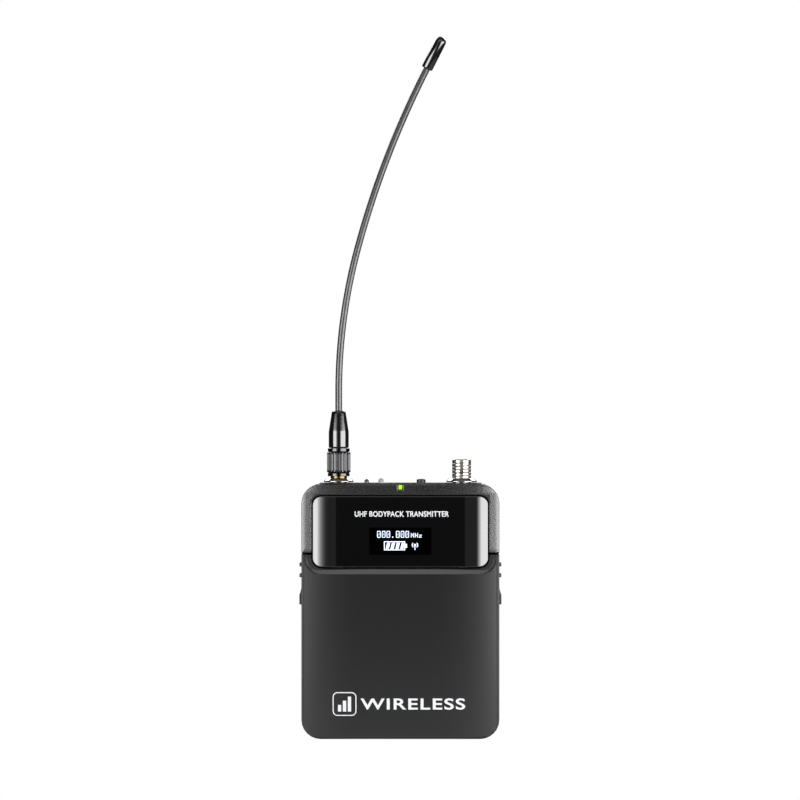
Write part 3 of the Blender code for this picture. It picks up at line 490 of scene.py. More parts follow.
def rounded(corners, steps):
    """Swaps each (u, v, radius) corner for an arc."""
    points = []
    count = len(corners)
    for i, (u, v, radius) in enumerate(corners):
        here = Vector((u, v))
        if radius <= 0:
            points.append((u, v))
            continue
        before = (Vector(corners[i - 1][:2]) - here).normalized()
        after = (Vector(corners[(i + 1) % count][:2]) - here).normalized()
        half = math.acos(max(-1, min(1, before.dot(after)))) / 2
        reach = radius / math.tan(half)
        centre = here + (before + after).normalized() * (radius / math.sin(half))
        start, end = here + before * reach - centre, here + after * reach - centre
        sweep = start.angle_signed(end)
        for s in range(steps + 1):
            a = -sweep * s / steps
            cos, sin = math.cos(a), math.sin(a)
            turned = Vector((start.x * cos - start.y * sin, start.x * sin + start.y * cos))
            points.append(tuple(centre + turned))
    return points


def rounded_profile(points, radius, steps=3):
    """Rounds each inner corner of an open (radius, height) profile."""
    out = [points[0]]
    for before, here, after in zip(points, points[1:], points[2:]):
        a, p, b = Vector(before), Vector(here), Vector(after)
        reach = min(radius, (a - p).length * 0.45, (b - p).length * 0.45)
        first, last = p + (a - p).normalized() * reach, p + (b - p).normalized() * reach
        for s in range(steps + 1):
            t = s / steps
            out.append(tuple(first * (1 - t) ** 2 + p * 2 * t * (1 - t) + last * t**2))
    out.append(points[-1])
    return out


def slabs(name, outlines, front, back):
    """One piece from flat outlines of (x, z) points, each a slab from y = front to y = back."""
    verts, faces = [], []
    for outline in outlines:
        start, count = len(verts), len(outline)
        verts += [(x, front, z) for x, z in outline] + [(x, back, z) for x, z in outline]
        faces.append([start + i for i in range(count)])
        faces.append([start + 2 * count - 1 - i for i in range(count)])
        for i in range(count):
            j = (i + 1) % count
            faces.append((start + i, start + j, start + count + j, start + count + i))
    return mesh_object(name, verts, faces)


def keep_flats_flat(obj):
    """Shades by the large faces, so that a flat next to a rounded edge looks flat."""
    weighted = obj.modifiers.new("flat_shading", "WEIGHTED_NORMAL")
    weighted.keep_sharp = True
    weighted.weight = 100


def round_edges(work, width, segments):
    """Bevels every edge that turns by more than 28 degrees."""
    limit = math.radians(28)
    sharp = [e for e in work.edges if len(e.link_faces) == 2 and e.calc_face_angle(0) > limit]
    bmesh.ops.bevel(
        work, geom=sharp, offset=width * MM, offset_type="OFFSET", segments=segments, profile=0.5,
        affect="EDGES", clamp_overlap=False, miter_outer="SHARP",
    )


def cut(work, axis, value):
    """Adds a row of edges where a plane meets the mesh."""
    normal = [0, 0, 0]
    normal["XYZ".index(axis)] = 1
    point = [n * value * MM for n in normal]
    geometry = work.verts[:] + work.edges[:] + work.faces[:]
    bmesh.ops.bisect_plane(work, geom=geometry, dist=WELD, plane_co=point, plane_no=normal)


def put_in_order(work):
    """Sorts points and faces by their place, because cutting leaves them in no fixed order."""
    measure = Vector((7919, 104729, 1299709))
    work.verts.sort(key=lambda v: v.co.dot(measure))
    work.faces.sort(key=lambda f: f.calc_center_median().dot(measure))


def refined(node, name, material, bevel, segments=2, cuts=(), move=None):
    """A piece from a CAD node's shape: faces joined, edges rounded, rows cut, and points moved."""
    work = bmesh.new()
    work.from_mesh(NODES[node].data)
    bmesh.ops.remove_doubles(work, verts=work.verts, dist=2e-6)
    bmesh.ops.dissolve_limit(work, angle_limit=math.radians(0.6), verts=work.verts, edges=work.edges)
    round_edges(work, bevel, segments)
    for axis, values in cuts:
        for value in values:
            cut(work, axis, value)
    low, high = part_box(node)
    for v in work.verts:
        if move:
            v.co = Vector(move(*(v.co / MM))) * MM
        v.co = [max(a, min(b, c)) for a, b, c in zip(low, high, v.co)]
    put_in_order(work)
    mesh = bpy.data.meshes.new(name)
    work.to_mesh(mesh)
    work.free()
    obj = link_smooth(name, mesh)
    if not cuts:
        keep_flats_flat(obj)
    return finish_piece(obj, material, NODES[node]["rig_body"], (node,))


def tube(name, points, radius, sides):
    """A round rod along points, with flat ends."""
    verts, faces = [], []
    path = [Vector(p) for p in points]
    side = Vector((0, 1, 0)) if abs((path[1] - path[0]).normalized().y) < 0.9 else Vector((1, 0, 0))
    for i, p in enumerate(path):
        along = (path[min(i + 1, len(path) - 1)] - path[max(i - 1, 0)]).normalized()
        side = (side - along * side.dot(along)).normalized()
        other = along.cross(side)
        for s in range(sides):
            a = 2 * math.pi * s / sides
            verts.append(p + (side * math.cos(a) + other * math.sin(a)) * radius)
    for i in range(len(path) - 1):
        for s in range(sides):
            t = (s + 1) % sides
            faces.append((i * sides + s, i * sides + t, (i + 1) * sides + t, (i + 1) * sides + s))
    faces.append(list(range(sides)))
    faces.append([(len(path) - 1) * sides + s for s in range(sides)])
    return mesh_object(name, verts, faces, 50)


def subtract(obj, boxes, name, angle):
    """Cuts boxes, given as (centre, size), out of a piece, and returns the result under a new name."""
    cutter = bpy.data.objects.new(name + "_cutter", bpy.data.meshes.new(name + "_cutter"))
    work = bmesh.new()
    for centre, size in boxes:
        for v in bmesh.ops.create_cube(work, size=1.0)["verts"]:
            v.co = Vector([c + side * part for c, side, part in zip(centre, size, v.co)]) * MM
    work.to_mesh(cutter.data)
    work.free()
    bpy.context.scene.collection.objects.link(cutter)
    cutting = obj.modifiers.new("cut", "BOOLEAN")
    cutting.operation = "DIFFERENCE"
    cutting.object = cutter
    cutting.solver = "EXACT"
    cutting.use_self = len(boxes) > 1
    bpy.context.view_layer.update()
    mesh = bpy.data.meshes.new_from_object(obj.evaluated_get(bpy.context.evaluated_depsgraph_get()))
    bpy.data.objects.remove(obj)
    bpy.data.objects.remove(cutter)
    return link_smooth(name, mesh, angle)


def crown(x):
    """How far the front falls back, past its flat middle, towards the sides."""
    return CROWN * (max(0.0, abs(x) - CROWN_FLAT) / (HALF_WIDTH - CROWN_FLAT)) ** CROWN_POWER


# -------------------------------------------------------------------- case


def case_pieces():
    refined("rear_case", "rear_shell", CASE, bevel=0.35, segments=3)
    side_cuts = [x * 1.5 for x in range(-21, 22)]
    level_cuts = [64.0 + 2.0 * i for i in range(10)]

    def frame_move(x, y, z):
        past = max(0.0, abs(x) - FRAME_EDGE_X)
        edge = FRAME_EDGE * (past / (HALF_WIDTH - FRAME_EDGE_X)) ** 2
        return (x, y + crown(x) + edge if y < FRAME_SKIN_Y else y, z)

    refined("front_frame", "front_surround", CASE, bevel=0.28, segments=3,
            cuts=(("X", side_cuts), ("Z", level_cuts)), move=frame_move)
    refined("top_plate", "top_deck", MATTE, bevel=0.12)
    for side in ("left", "right"):
        refined(f"release_button_{side}", f"release_slide_{side}", MATTE, 0.22, 3)


def scoop(x, z):
    """Depth of the slope under the window. It turns up round the window's lower corners and fades out."""
    past = max(0.0, abs(x) - SCOOP_CORNER[0])
    if z < SCOOP_CORNER[1]:
        below = math.hypot(past, SCOOP_CORNER[1] - z)
    else:
        below = past
    share = (SCOOP_REACH - below) / (SCOOP_REACH - SCOOP_INNER)
    if share <= 0:
        return 0.0
    fade = 1.0 if z < SCOOP_CORNER[1] else max(0.0, 1 - (z - SCOOP_CORNER[1]) / SCOOP_FADE)
    room = SCOOP_LIMIT - crown(x)
    return min(SCOOP_DEPTH * min(1.0, share), room) * (fade if past else 1.0)


def door_piece():
    def door_move(x, y, z):
        return (x, y + crown(x) + scoop(x, z) if y <= DOOR_SKIN_Y else y, z)

    side_cuts = [x * 1.5 for x in range(-17, 18)]
    side_cuts += [side * (26 + 0.4 * i) for side in (-1, 1) for i in range(17)]
    level_cuts = [1.5 + 3 * i for i in range(18)] + [54.85 + 0.2 * i for i in range(34)]
    door = refined("battery_door", "door_cover", DOOR, bevel=0.22, segments=3,
                   cuts=(("X", side_cuts), ("Z", level_cuts)), move=door_move)
    door.data.materials.append(MATTE)
    # the inner faces are plain plastic
    for face in door.data.polygons:
        inner = abs(face.normal.y) > 0.9 and face.center.y > DOOR_INNER_Y * MM
        face.material_index = int(inner)


def window_fall(x):
    """The window's front falls back past its flat middle, slowly and then quickly."""
    past = max(0.0, abs(x) - WINDOW_FLAT)
    return 0.035 * past + 1.0 * (past / (WINDOW_HALF_WIDTH - WINDOW_FLAT)) ** 3


def window_piece():
    z_low, z_high = WINDOW_Z
    half = WINDOW_HALF_WIDTH
    corners = ((-half, z_low), (half, z_low), (half, z_high), (-half, z_high))
    outline = rounded([(x, z, WINDOW_CORNER) for x, z in corners], 14)
    obj = slabs("window_lens", [outline], WINDOW_FRONT, WINDOW_BACK)
    work = bmesh.new()
    work.from_mesh(obj.data)
    round_edges(work, 0.25, 3)
    steps = 40
    for side in (-1, 1):
        for i in range(steps + 1):
            cut(work, "X", side * (WINDOW_FLAT - 0.3 + (half - WINDOW_FLAT + 0.2) * i / steps))
    # rows near the top and bottom edges keep the glass flat up to its rounded rim
    for inset in (0.28, 0.5, 0.9, 1.4, 2.0, 2.6, 3.1, 5.0):
        cut(work, "Z", z_low + inset)
        cut(work, "Z", z_high - inset)
    for v in work.verts:
        if v.co.y < WINDOW_SKIN_Y * MM:
            v.co.y += window_fall(v.co.x / MM) * MM
    put_in_order(work)
    work.to_mesh(obj.data)
    work.free()
    smooth(obj.data)
    finish_piece(obj, PAINTED_SIDE_WINDOW, "case", ("display_window",))


# --------------------------------------------------------- marks and display


def text_mesh(name, words, height, x, z, front, spacing, squeeze, bold):
    """Words, centred on x, as a thin solid whose front stands at y = front."""
    curve = bpy.data.curves.new(name, "FONT")
    curve.body = words
    curve.size = height * MM / CAP_HEIGHT
    curve.space_character = spacing
    curve.align_x = "CENTER"
    curve.offset = bold * MM
    curve.extrude = LETTER_THICKNESS * MM
    holder = bpy.data.objects.new(name, curve)
    mesh = bpy.data.meshes.new_from_object(holder)
    bpy.data.objects.remove(holder)
    for v in mesh.vertices:
        flat_x, flat_z, deep = v.co
        v.co = (x * MM + flat_x * squeeze, (front + LETTER_THICKNESS) * MM - deep, z * MM + flat_z)
    obj = bpy.data.objects.new(name, mesh)
    bpy.context.scene.collection.objects.link(obj)
    return obj


def square(x, z, width, height, lean=0.0):
    """A straight stroke from its lower left corner. Its top leans to the right by lean."""
    return [(x, z), (x + width, z), (x + width + lean, z + height), (x + lean, z + height)]


def zero(x, z, width=1.2, height=2.25, line=0.24, inset=0.1):
    """A square-cornered nought with a short slash inside."""
    across, up = width - 2 * inset, height - 2 * line
    return [
        square(x + inset, z, across, line), square(x + inset, z + height - line, across, line),
        square(x, z + line, line, up), square(x + width - line, z + line, line, up),
        square(x + 0.44, z + 0.8, 0.14, height - 1.6, 0.18),
    ]


def unit_letters(x, z, tall=1.5, line=0.22):
    """The letters M, H and z from straight strokes."""
    wide, step = 1.0, 1.32
    shapes = [square(x, z, line, tall), square(x + wide - line, z, line, tall)]
    shapes += [square(x + wide / 2 - line / 2, z + tall * 0.4, line, tall * 0.4)]
    x += step
    shapes += [square(x, z, line, tall), square(x + wide - line, z, line, tall)]
    shapes += [square(x + line, z + tall / 2 - line / 2, wide - 2 * line, line)]
    x += step
    short = 0.95
    shapes += [square(x, z, wide, line), square(x, z + short - line, wide, line)]
    shapes += [square(x + 0.1, z + line, line, short - 2 * line, 0.45)]
    return shapes


def arc_band(x, z, radius, width, start, end, steps=12):
    """A curved stroke from one angle to another, in degrees."""
    outer, inner = [], []
    for i in range(steps + 1):
        a = math.radians(start + (end - start) * i / steps)
        outer.append((x + radius * math.cos(a), z + radius * math.sin(a)))
        inner.append((x + (radius - width) * math.cos(a), z + (radius - width) * math.sin(a)))
    return outer + inner[::-1]


def display_marks():
    shapes = [square(-2.75, FIGURE_Z, 0.4, 0.4)] + unit_letters(3.5, FIGURE_Z + 0.05)
    for place in (0, 1, 2, 4, 5, 6):
        shapes += zero(-7.75 + FIGURE_STEP * place, FIGURE_Z)
    # the battery gauge: an outline with a cap, and four slanted bars
    x, z, width, height, line = -5.5, 63.1, 7.1, 3.0, 0.3
    up = height - 2 * line
    shapes += [square(x, z, width, line), square(x, z + height - line, width, line)]
    shapes += [square(x, z + line, line, up), square(x + width - line, z + line, line, up)]
    shapes += [square(x + width, z + 0.8, 0.6, height - 1.6)]
    shapes += [square(x + 0.55 + 1.62 * i, z + 0.45, 1.05, height - 0.9, 0.55) for i in range(4)]
    # the signal symbol: a mast between two arcs
    mast_x, mast_z = 4.85, 64.85
    shapes += [square(mast_x - 0.14, 63.2, 0.28, 1.5), arc_band(mast_x, mast_z, 0.42, 0.42, 0, 359)]
    shapes += [arc_band(mast_x, mast_z, 1.05, 0.26, start, start + 100) for start in (-50, 130)]
    marks = slabs("display_marks", shapes, INK_FRONT, WINDOW_FRONT + 0.02)
    finish_piece(marks, OLED, "case")
    face = [square(-10.35, 61.6, 20.7, 9.1)]
    screen = slabs("display_face", face, WINDOW_FRONT - 0.008, WINDOW_FRONT + 0.01)
    finish_piece(screen, SCREEN, "case")


def rounded_square(centre, half, radius):
    x, z = centre
    return rounded([(x - half, z - half, radius), (x + half, z - half, radius),
                    (x + half, z + half, radius), (x - half, z + half, radius)], 6)


def add_ring(obj, outer, inner):
    """Adds a closed flat ring between two outlines of as many points."""
    work = bmesh.new()
    work.from_mesh(obj.data)
    front, back = INK_BACK - INK_THICKNESS, INK_BACK
    loops = []
    for outline, y in ((outer, front), (inner, front), (inner, back), (outer, back)):
        loops.append([work.verts.new((x * MM, y * MM, z * MM)) for x, z in outline])
    for first, second in zip(loops, loops[1:] + loops[:1]):
        for i in range(len(outer)):
            j = (i + 1) % len(outer)
            work.faces.new((first[i], first[j], second[j], second[i]))
    bmesh.ops.recalc_face_normals(work, faces=work.faces)
    work.to_mesh(obj.data)
    work.free()


def drape(obj):
    """Lays a flat print on the crowned door."""
    work = bmesh.new()
    work.from_mesh(obj.data)
    for x in range(-24, 25):
        cut(work, "X", x)
    for v in work.verts:
        v.co.y += crown(v.co.x / MM) * MM
    work.to_mesh(obj.data)
    work.free()


def printed_marks():
    label = text_mesh("window_label", "UHF BODYPACK TRANSMITTER", height=1.75, x=0.4, z=74.35,
                      front=INK_FRONT, spacing=1.05, squeeze=0.85, bold=0.055)
    finish_piece(label, INK, "case")
    # a plain sign: three level bars in a rounded square, and one general word
    sign_x, sign_z = SIGN_CENTRE
    bars = [square(sign_x - 2.2 + 1.65 * i, sign_z - 2.5, 1.1, 2.2 + 1.4 * i) for i in range(3)]
    sign = slabs("door_sign", bars, INK_BACK - INK_THICKNESS, INK_BACK)
    add_ring(sign, rounded_square(SIGN_CENTRE, 3.95, 1.6), rounded_square(SIGN_CENTRE, 3.62, 1.27))
    drape(sign)
    finish_piece(sign, INK, "door")
    word = text_mesh("door_word", "WIRELESS", height=3.6, x=4.3, z=10.15, front=INK_BACK - INK_THICKNESS,
                     spacing=1.12, squeeze=1.43, bold=0.09)
    drape(word)
    finish_piece(word, INK, "door")


# ---------------------------------------------------------------- top parts


def nut_piece(name, node, x, bore, outer):
    low, high = NUT_Z
    profile = [(bore, low), (outer, low), (outer, low + 0.45), (outer - 1.0, high)]
    profile += [(bore + 0.25, high), (bore, high - 0.2)]
    obj = revolve(name, rounded_profile(profile, 0.16) + [profile[0]], (x, 0, 0))
    finish_piece(obj, CHROME, "case", (node,))


def flute(radius, height, angle):
    """Cuts the grip's straight flutes, and leaves the collars above and below it round."""
    if radius < FLUTE_FLOOR:
        return radius
    wave = 0.5 + 0.5 * math.cos(angle * FLUTES)
    return radius - FLUTE_DEPTH * wave**2.2


def coupling_piece():
    grip = [(3.72, 88.86)] + [(GRIP_RADIUS, 89.15 + 6.3 * i / 8) for i in range(9)] + [(3.72, 95.72)]
    profile = [(3.05, 87.6), (3.5, 87.6), (3.65, 87.75), (3.65, 88.55), (3.5, 88.72), (3.4, 88.8)] + grip
    profile += [(3.4, 95.8), (3.5, 95.88), (3.65, 96.02), (3.65, 96.95), (3.5, 97.1), (1.9, 97.1)]
    profile += [(1.9, 94.0), (3.05, 94.0), (3.05, 87.6)]
    obj = revolve("coupling_grip", profile, (ANTENNA_X, 0, 0), sides=288, angle=38, shape=flute)
    finish_piece(obj, BLACK_CHROME, "coupling_nut", ("antenna_coupling_nut",))


def sleeve_piece():
    profile = [(0.0, 99.8), (1.9, 99.8), (1.9, 97.12), (3.15, 97.12), (3.35, 97.4), (3.35, 102.3)]
    profile += [(3.3, 102.8), (2.4, 108.7), (2.3, 109.2), (2.05, 109.5), (1.7, 109.6), (1.45, 109.4)]
    profile += [(1.45, 104.5), (0.0, 104.5)]
    obj = revolve("antenna_boot", rounded_profile(profile, 0.25), (ANTENNA_X, 0, 0))
    finish_piece(obj, GLOSS, "antenna", ("antenna_sleeve",))


def whip_point(angle):
    """The whip's centre line where it leans by this angle, on two bends, the second one wider."""
    lower = min(angle, LOWER_BEND_ANGLE)
    x = ANTENNA_X + LOWER_BEND_RADIUS * (1 - math.cos(lower))
    z = BEND_START_Z + LOWER_BEND_RADIUS * math.sin(lower)
    if angle > lower:
        x += UPPER_BEND_RADIUS * (math.cos(lower) - math.cos(angle))
        z += UPPER_BEND_RADIUS * (math.sin(angle) - math.sin(lower))
    return Vector((x, 0, z))


def whip_pieces():
    direction = Vector((math.sin(BEND_ANGLE), 0, math.cos(BEND_ANGLE)))
    points = [Vector((ANTENNA_X, 0, 104.8 + 1.4 * i)) for i in range(8)]
    points += [whip_point(BEND_ANGLE * i / 72) for i in range(73)]
    points += [whip_point(BEND_ANGLE) + direction * 1.85 * i for i in (1, 2)]
    whip = tube("whip_rod", points, WHIP_RADIUS, 32)
    finish_piece(whip, WHIP, "antenna", ("antenna_whip",))
    bore, shoulder = WHIP_RADIUS + 0.3, TIP_LENGTH - TIP_RADIUS
    profile = [(0.0, 4.0), (bore, 4.0), (bore, 0.1), (bore + 0.1, 0.0), (1.7, 0.0), (TIP_RADIUS, 0.3)]
    profile += [(TIP_RADIUS, shoulder - 0.2), (TIP_RADIUS, shoulder)]
    for i in range(1, 10):
        a = math.pi / 2 * i / 10
        profile.append((TIP_RADIUS * math.cos(a), shoulder + (TIP_RADIUS - 0.02) * math.sin(a)))
    profile.append((0.0, TIP_LENGTH - 0.02))
    tip = revolve("whip_cap", profile, whip_point(BEND_ANGLE), direction, sides=64)
    finish_piece(tip, GLOSS, "antenna", ("antenna_tip",))


def thread(radius, height, angle):
    """A helical thread on the barrel between its plain neck and its plain lip."""
    low, high = THREAD_Z
    if radius < BARREL_RADIUS - 0.05 or not low < height < high:
        return radius
    turn = (height / THREAD_PITCH - angle / (2 * math.pi)) % 1.0
    ridge = 1 - abs(2 * turn - 1)
    fade = min(1.0, (height - low) / 0.4, (high - height) / 0.25)
    return radius - THREAD_DEPTH * fade * max(0.0, 1 - ridge * 3.2)


def microphone_socket():
    rows = 150
    neck = 86.2
    profile = [(1.9, 84.0), (1.9, 80.6), (4.6, 80.6), (4.6, 82.9), (BARREL_RADIUS, 82.9)]
    profile += [(BARREL_RADIUS, neck + (BARREL_TOP - neck) * i / rows) for i in range(rows + 1)]
    profile += [(3.1, 93.15), (2.95, 93.27), (2.8, 93.3), (2.5, 93.3), (2.45, 93.2), (2.45, 84.0)]
    profile += [(1.9, 84.0)]
    barrel = revolve("socket_barrel", profile, (MIC_X, 0, 0), angle=45, shape=thread)
    key_slot = ((MIC_X, -2.9, 91.4), (1.0, 2.4, 6.0))
    shell = subtract(barrel, [key_slot], "socket_shell", 45)
    finish_piece(shell, NICKEL, "case", ("mic_connector_shell",))
    nut_piece("socket_nut", "mic_connector_nut", MIC_X, 3.45, 5.1)


def small_top_parts():
    for name, node, x, radius, top, mat, slot in (
        ("audio_dome", "audio_lamp_lens", -6.5, 0.85, 87.0, CLEAR, "clear_lens"),
        ("input_dome", "input_lamp_lens", -11.3, 0.75, 86.7, DARK, "dark_lens"),
    ):
        flange = radius + 0.55
        profile = [(0.0, 80.0), (radius, 80.0), (radius, 81.9)]
        profile += [(flange, 81.9), (flange, 82.9), (radius, 82.9)]
        for i in range(13):
            a = math.pi / 2 * i / 12
            profile.append((radius * math.cos(a), top - radius + radius * math.sin(a)))
        profile[-1] = (0.0, top)
        obj = revolve(name, profile, (x, SMALL_PARTS_Y, 0), sides=48)
        finish_piece(obj, mat, "case", (node,))
    profile = [(0.0, 81.7), (0.8, 81.7), (0.8, 82.1), (2.2, 82.1), (2.2, 82.9), (1.5, 82.9), (1.5, 86.25)]
    profile += [(1.5 - 0.4 * (1 - math.cos(a)), 86.3 + 0.4 * math.sin(a)) for a in (0.2, 0.5, 0.8, 1.1, 1.4)]
    profile += [(1.0, 86.7), (0.6, 86.62), (0.0, 86.58)]
    button = revolve("power_key", profile, (6.95, SMALL_PARTS_Y, 0), sides=64, angle=40)
    finish_piece(button, MATTE, "power_button", ("power_button",))
    refined("status_light_pipe", "status_window", GREEN, bevel=0.18, segments=3)


# --------------------------------------------------------------- back parts


def clip_points():
    """The wire's centre line: pivot, bend, leg and foot of one half, then the other half mirrored."""
    y0, z0 = CLIP_PIVOT
    half = [(16.2 - 0.8 * i, y0, z0) for i in range(4)]
    bend, leg = 2.0, 11.0
    for i in range(1, 13):
        a = math.pi / 2 * i / 12
        half.append((leg + bend - bend * math.sin(a), y0, z0 - bend + bend * math.cos(a)))
    corners = [(y0, z0 - bend, 0), (y0, 64.5, 3.0), (17.9, 59.5, 5.0), (17.9, 25.0, 5.0)]
    corners += [(12.8, 14.0, 4.0), (y0 + 1.4, 7.0, 0)]
    side = rounded(corners, 12)
    half += [(leg, y, z) for y, z in side[1:-1]]
    foot_y, foot_z = side[-1]
    foot = 4.0
    for i in range(17):
        a = math.pi / 2 * i / 16
        drop = foot * (1 - math.sin(a))
        half.append((leg - foot + foot * math.cos(a), foot_y - drop * 0.4, foot_z + drop))
    return half + [(-x, y, z) for x, y, z in reversed(half)]


def clip_piece():
    clip = tube("clip_wire", clip_points(), 1.0, 28)
    finish_piece(clip, STEEL, "clip", ("belt_clip",))


def cross_screw(name, node, seat, direction, length):
    """A pan head on a shank, with a cross recess pressed in."""
    profile = [(0.0, length), (0.95, length), (0.95, 0.0), (2.0, 0.0), (2.0, -0.45), (1.95, -0.75)]
    profile += [(1.75, -1.05), (1.35, -1.25), (0.0, -1.3)]
    blank = revolve(name, profile, seat, direction, sides=64, angle=45)
    centre = (seat[0], seat[1] - direction[1] * 1.15, seat[2])
    arms = [(centre, (2.1, 1.0, 0.4)), (centre, (0.4, 1.0, 2.1))]
    screw = subtract(blank, arms, name + "_head", 40)
    finish_piece(screw, STEEL, "case", (node,))


def screw_pieces():
    for number, side in ((1, -1), (2, 1)):
        cross_screw(f"back_screw_{number}", f"frame_screw_{number}",
                    seat=(side * 28.4, 9.3, 72.0), direction=(0, -1, 0), length=16.5)
        cross_screw(f"bay_screw_{number}", f"panel_screw_{number}",
                    seat=(side * 23.5, -8.2, 39.4), direction=(0, 1, 0), length=7.0)


# -------------------------------------------------------------- inner parts


def cell_piece(node, name, z, side):
    """An AA cell: a rolled jacket with lips, a copper band at the positive end, and steel ends."""
    low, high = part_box(node)
    band_start = 37.0
    profile = [(0.0, 0.0), (4.6, 0.0), (4.8, 0.12), (5.6, 0.12), (6.7, 0.0), (7.15, 0.25)]
    profile += [(CELL_RADIUS, height) for height in (0.7, 13.0, band_start, 48.6)]
    profile += [(7.05, 49.1), (6.3, 49.3), (6.0, 49.15)]
    profile += [(3.2, 49.15), (2.75, 49.3), (2.75, 50.2), (2.45, CELL_LENGTH), (0.0, CELL_LENGTH)]
    start = (low.x / MM if side > 0 else high.x / MM, CELL_Y, z)
    obj = revolve(name, profile, start, (side, 0, 0), sides=72, angle=40)
    finish_piece(obj, CELL, "case", (node,))
    obj.data.materials.append(COPPER)
    obj.data.materials.append(NICKEL)
    for face in obj.data.polygons:
        along = (face.center.x / MM - start[0]) * side
        out = math.hypot(face.center.y / MM - CELL_Y, face.center.z / MM - z)
        if out < 6.2 and (along < 0.3 or along > 48.9):
            face.material_index = 2
        elif along > band_start - 0.1:
            face.material_index = 1


def inner_pieces():
    for node, name, z in (("battery_lower", "cell_lower", 12.0), ("battery_upper", "cell_upper", 27.3)):
        low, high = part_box(node)
        cell_piece(node, name, z, 1 if -low.x < high.x else -1)
    refined("battery_tray", "cell_tray", MATTE, bevel=0.15)
    refined("control_panel", "key_panel", MATTE, bevel=0.15)
    for name in ("up", "down", "set"):
        refined(f"key_{name}", f"{name}_key", GREY_KEY, bevel=0.3, segments=3)


def release_springs():
    """The two coils behind the release buttons, each a copy of its CAD shape on a mesh of its own. The real
    coils shorten as a button is pressed; nothing here makes them shorten.
    """
    for side, inner in (("left", 1), ("right", 0)):
        node = f"release_spring_{side}"
        spring = link_smooth(f"release_coil_{side}", NODES[node].data.copy(), 40)
        finish_piece(spring, STEEL, "case", (node,))
        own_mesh(spring)


def carried_over():
    """The CAD nodes that keep their shape, each with a procedural material."""
    for material, nodes in (
        (STEEL, ("hinge_pin", "board_screw_1", "board_screw_2")),
        (NICKEL, ("rf_shield", "contact_spring_upper", "contact_spring_lower", "bridge_contact",
                  "positive_contact", "negative_contact")),
        (SHADE_DARKENED_GOLD, ("antenna_contact", "mic_pin_1", "mic_pin_2", "mic_pin_3", "mic_pin_4")),
        (SWITCH, ("key_switch_up", "key_switch_down", "key_switch_set", "power_switch")),
        (FOAM, ("window_gasket",)),
        (PAINTED_SIDE_WINDOW, ("oled_display",)),
        (BOARD, ("main_board",)),
        (MATTE, ("mic_connector_insert",)),
    ):
        for node in nodes:
            mesh = NODES[node].data
            mesh.materials.clear()
            mesh.materials.append(material)
            smooth(mesh, 40)


# ------------------------------------------------------------------- studio


def stage_shell(name, verts, faces, strength):
    """A white stage piece, in metres, that only the camera sees, so that it adds no light of its own."""
    mesh = bpy.data.meshes.new(name)
    mesh.from_pydata(verts, [], faces)
    obj = bpy.data.objects.new(name, mesh)
    bpy.context.scene.collection.objects.link(obj)
    mat = bpy.data.materials.new(name)
    mat.use_nodes = True
    shader = mat.node_tree.nodes["Principled BSDF"]
    shader.inputs["Base Color"].default_value = (0, 0, 0, 1)
    shader.inputs["Specular IOR Level"].default_value = 0
    shader.inputs["Emission Color"].default_value = (1, 1, 1, 1)
    shader.inputs["Emission Strength"].default_value = strength
    mesh.materials.append(mat)
    for ray in ("diffuse", "glossy", "transmission", "volume_scatter", "shadow"):
        setattr(obj, "visible_" + ray, False)
    return obj


def math_node(tree, operation, first, second):
    """A Math node on numbers or sockets. A quotient is kept between 0 and 1."""
    node = tree.nodes.new("ShaderNodeMath")
    node.operation = operation
    node.use_clamp = operation == "DIVIDE"
    for socket, value in zip(node.inputs, (first, second)):
        if isinstance(value, (int, float)):
            socket.default_value = value
        else:
            tree.links.new(value, socket)
    return node.outputs[0]


def feather(data, first, last, power):
    """Fades a lamp's face towards its sides, over these shares of its width, and at its top and bottom."""
    data.use_nodes = True
    tree = data.node_tree
    split = tree.nodes.new("ShaderNodeSeparateXYZ")
    place = tree.nodes.new("ShaderNodeNewGeometry")
    tree.links.new(place.outputs["Parametric"], split.inputs["Vector"])
    across, up = split.outputs["X"], split.outputs["Y"]
    level = 1
    for along, share, exponent in (
        (across, first, power[0]),
        (math_node(tree, "SUBTRACT", 1, across), last, power[1]),
        (up, 0.1, 1),
        (math_node(tree, "SUBTRACT", 1, up), 0.1, 1),
    ):
        fade = math_node(tree, "POWER", math_node(tree, "DIVIDE", along, share), exponent)
        level = math_node(tree, "MULTIPLY", level, fade)
    tree.links.new(level, tree.nodes["Emission"].inputs["Strength"])


def softbox(name, azimuth, height, distance, width, tall, watts, edges=(0.1, 0.1), power=(1.0, 1.0)):
    """A soft light with feathered edges. Azimuth 0 is in front of the object and 90 is at its right."""
    a = math.radians(azimuth)
    data = bpy.data.lights.new(name, "AREA")
    data.shape = "RECTANGLE"
    data.size, data.size_y = width, tall
    data.energy = watts
    feather(data, *edges, power)
    lamp = bpy.data.objects.new(name, data)
    lamp.location = (distance * math.sin(a), -distance * math.cos(a), height)
    aim = Vector((0, 0, 0.07)) - lamp.location
    lamp.rotation_euler = aim.to_track_quat("-Z", "Y").to_euler()
    bpy.context.scene.collection.objects.link(lamp)


def circle(radius, z):
    turns = [2 * math.pi * i / STAGE_SIDES for i in range(STAGE_SIDES)]
    return [(radius * math.cos(a), radius * math.sin(a), z) for a in turns]


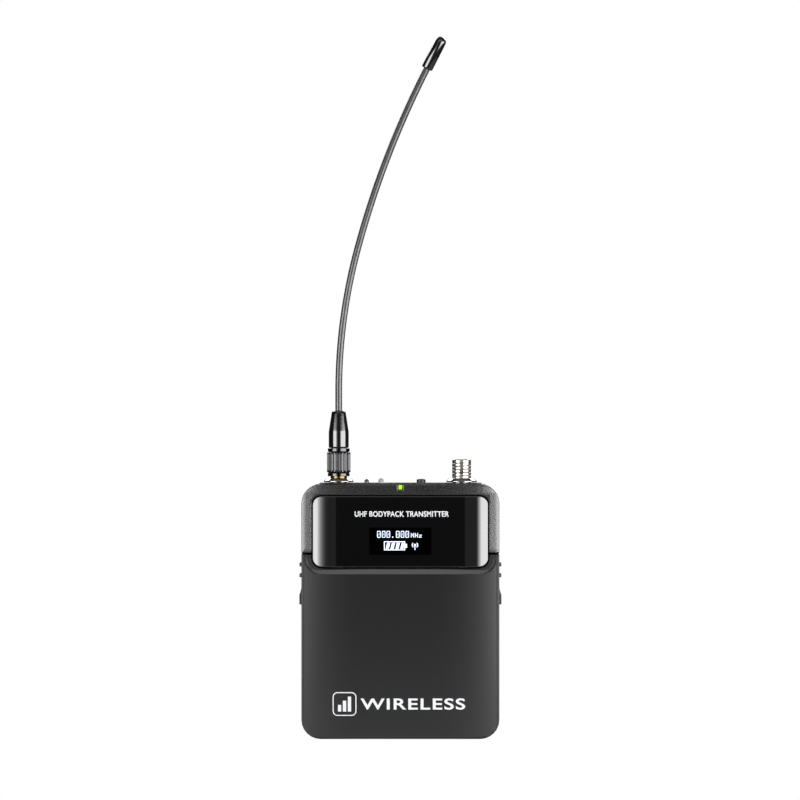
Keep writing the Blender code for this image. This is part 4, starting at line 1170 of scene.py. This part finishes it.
def stage():
    """A floor disc inside a closed round room, and a pale card that only reflections show."""
    n = STAGE_SIDES
    disc = [list(range(n))]
    stage_shell("floor", circle(4.0, -0.0002), disc, 1.0)
    walls = [(i, (i + 1) % n, n + (i + 1) % n, n + i) for i in range(n)]
    stage_shell("backdrop", circle(3.96, -4) + circle(3.96, 4), walls + disc + [list(range(n, 2 * n))], 1.0)
    card = stage_shell("floor_card", circle(0.32, -0.0001), disc, 0.4)
    card.visible_camera = False
    card.visible_glossy = True


def lights():
    # name, azimuth in degrees, height, distance, width, tall (metres) and watts
    softbox("key_left", -37, 0.12, 1.1, 1.22, 0.6, 21, edges=(0.08, 0.45), power=(1.0, 3.0))
    softbox("key_right", 50, 0.12, 1.1, 1.48, 0.6, 25, edges=(0.19, 0.08), power=(1.6, 1.0))
    softbox("top_front", 0, 0.62, 0.62, 1.2, 0.42, 1.9)
    softbox("top_rear", 180, 0.62, 0.62, 1.2, 0.42, 2.6)
    softbox("overhead", 0, 1.1, 0.05, 1.0, 1.0, 0.7)
    softbox("rear_left", -148, 0.75, 1.0, 0.8, 0.6, 9)
    softbox("rear_right", 148, 0.75, 1.0, 0.8, 0.6, 9)
    world = bpy.data.worlds.new("studio")
    world.use_nodes = True
    background = world.node_tree.nodes["Background"]
    background.inputs["Color"].default_value = (1, 1, 1, 1)
    background.inputs["Strength"].default_value = 0.015
    bpy.context.scene.world = world
    bpy.context.scene.view_settings.view_transform = "Standard"


def camera():
    """A level camera in front, whose view at the object's front is twice half_view wide."""
    half_view, distance, front = 0.1332, 2.0, 0.0115
    data = bpy.data.cameras.new("camera")
    data.sensor_width = 36
    data.lens = data.sensor_width / 2 * (distance - front) / half_view
    data.clip_start, data.clip_end = 0.05, 30
    obj = bpy.data.objects.new("camera", data)
    obj.location = (-0.00013, -distance, 0.11315)
    obj.rotation_euler = (math.pi / 2, 0, 0)
    bpy.context.scene.collection.objects.link(obj)
    bpy.context.scene.camera = obj


camera()
stage()
lights()
case_pieces()
door_piece()
window_piece()
display_marks()
printed_marks()
nut_piece("jack_nut", "antenna_jack_nut", ANTENNA_X, 3.05, 4.95)
coupling_piece()
sleeve_piece()
whip_pieces()
refined("antenna_jack", "jack_core", SHADE_DARKENED_GOLD, bevel=0.1)
microphone_socket()
small_top_parts()
clip_piece()
screw_pieces()
inner_pieces()
release_springs()
carried_over()
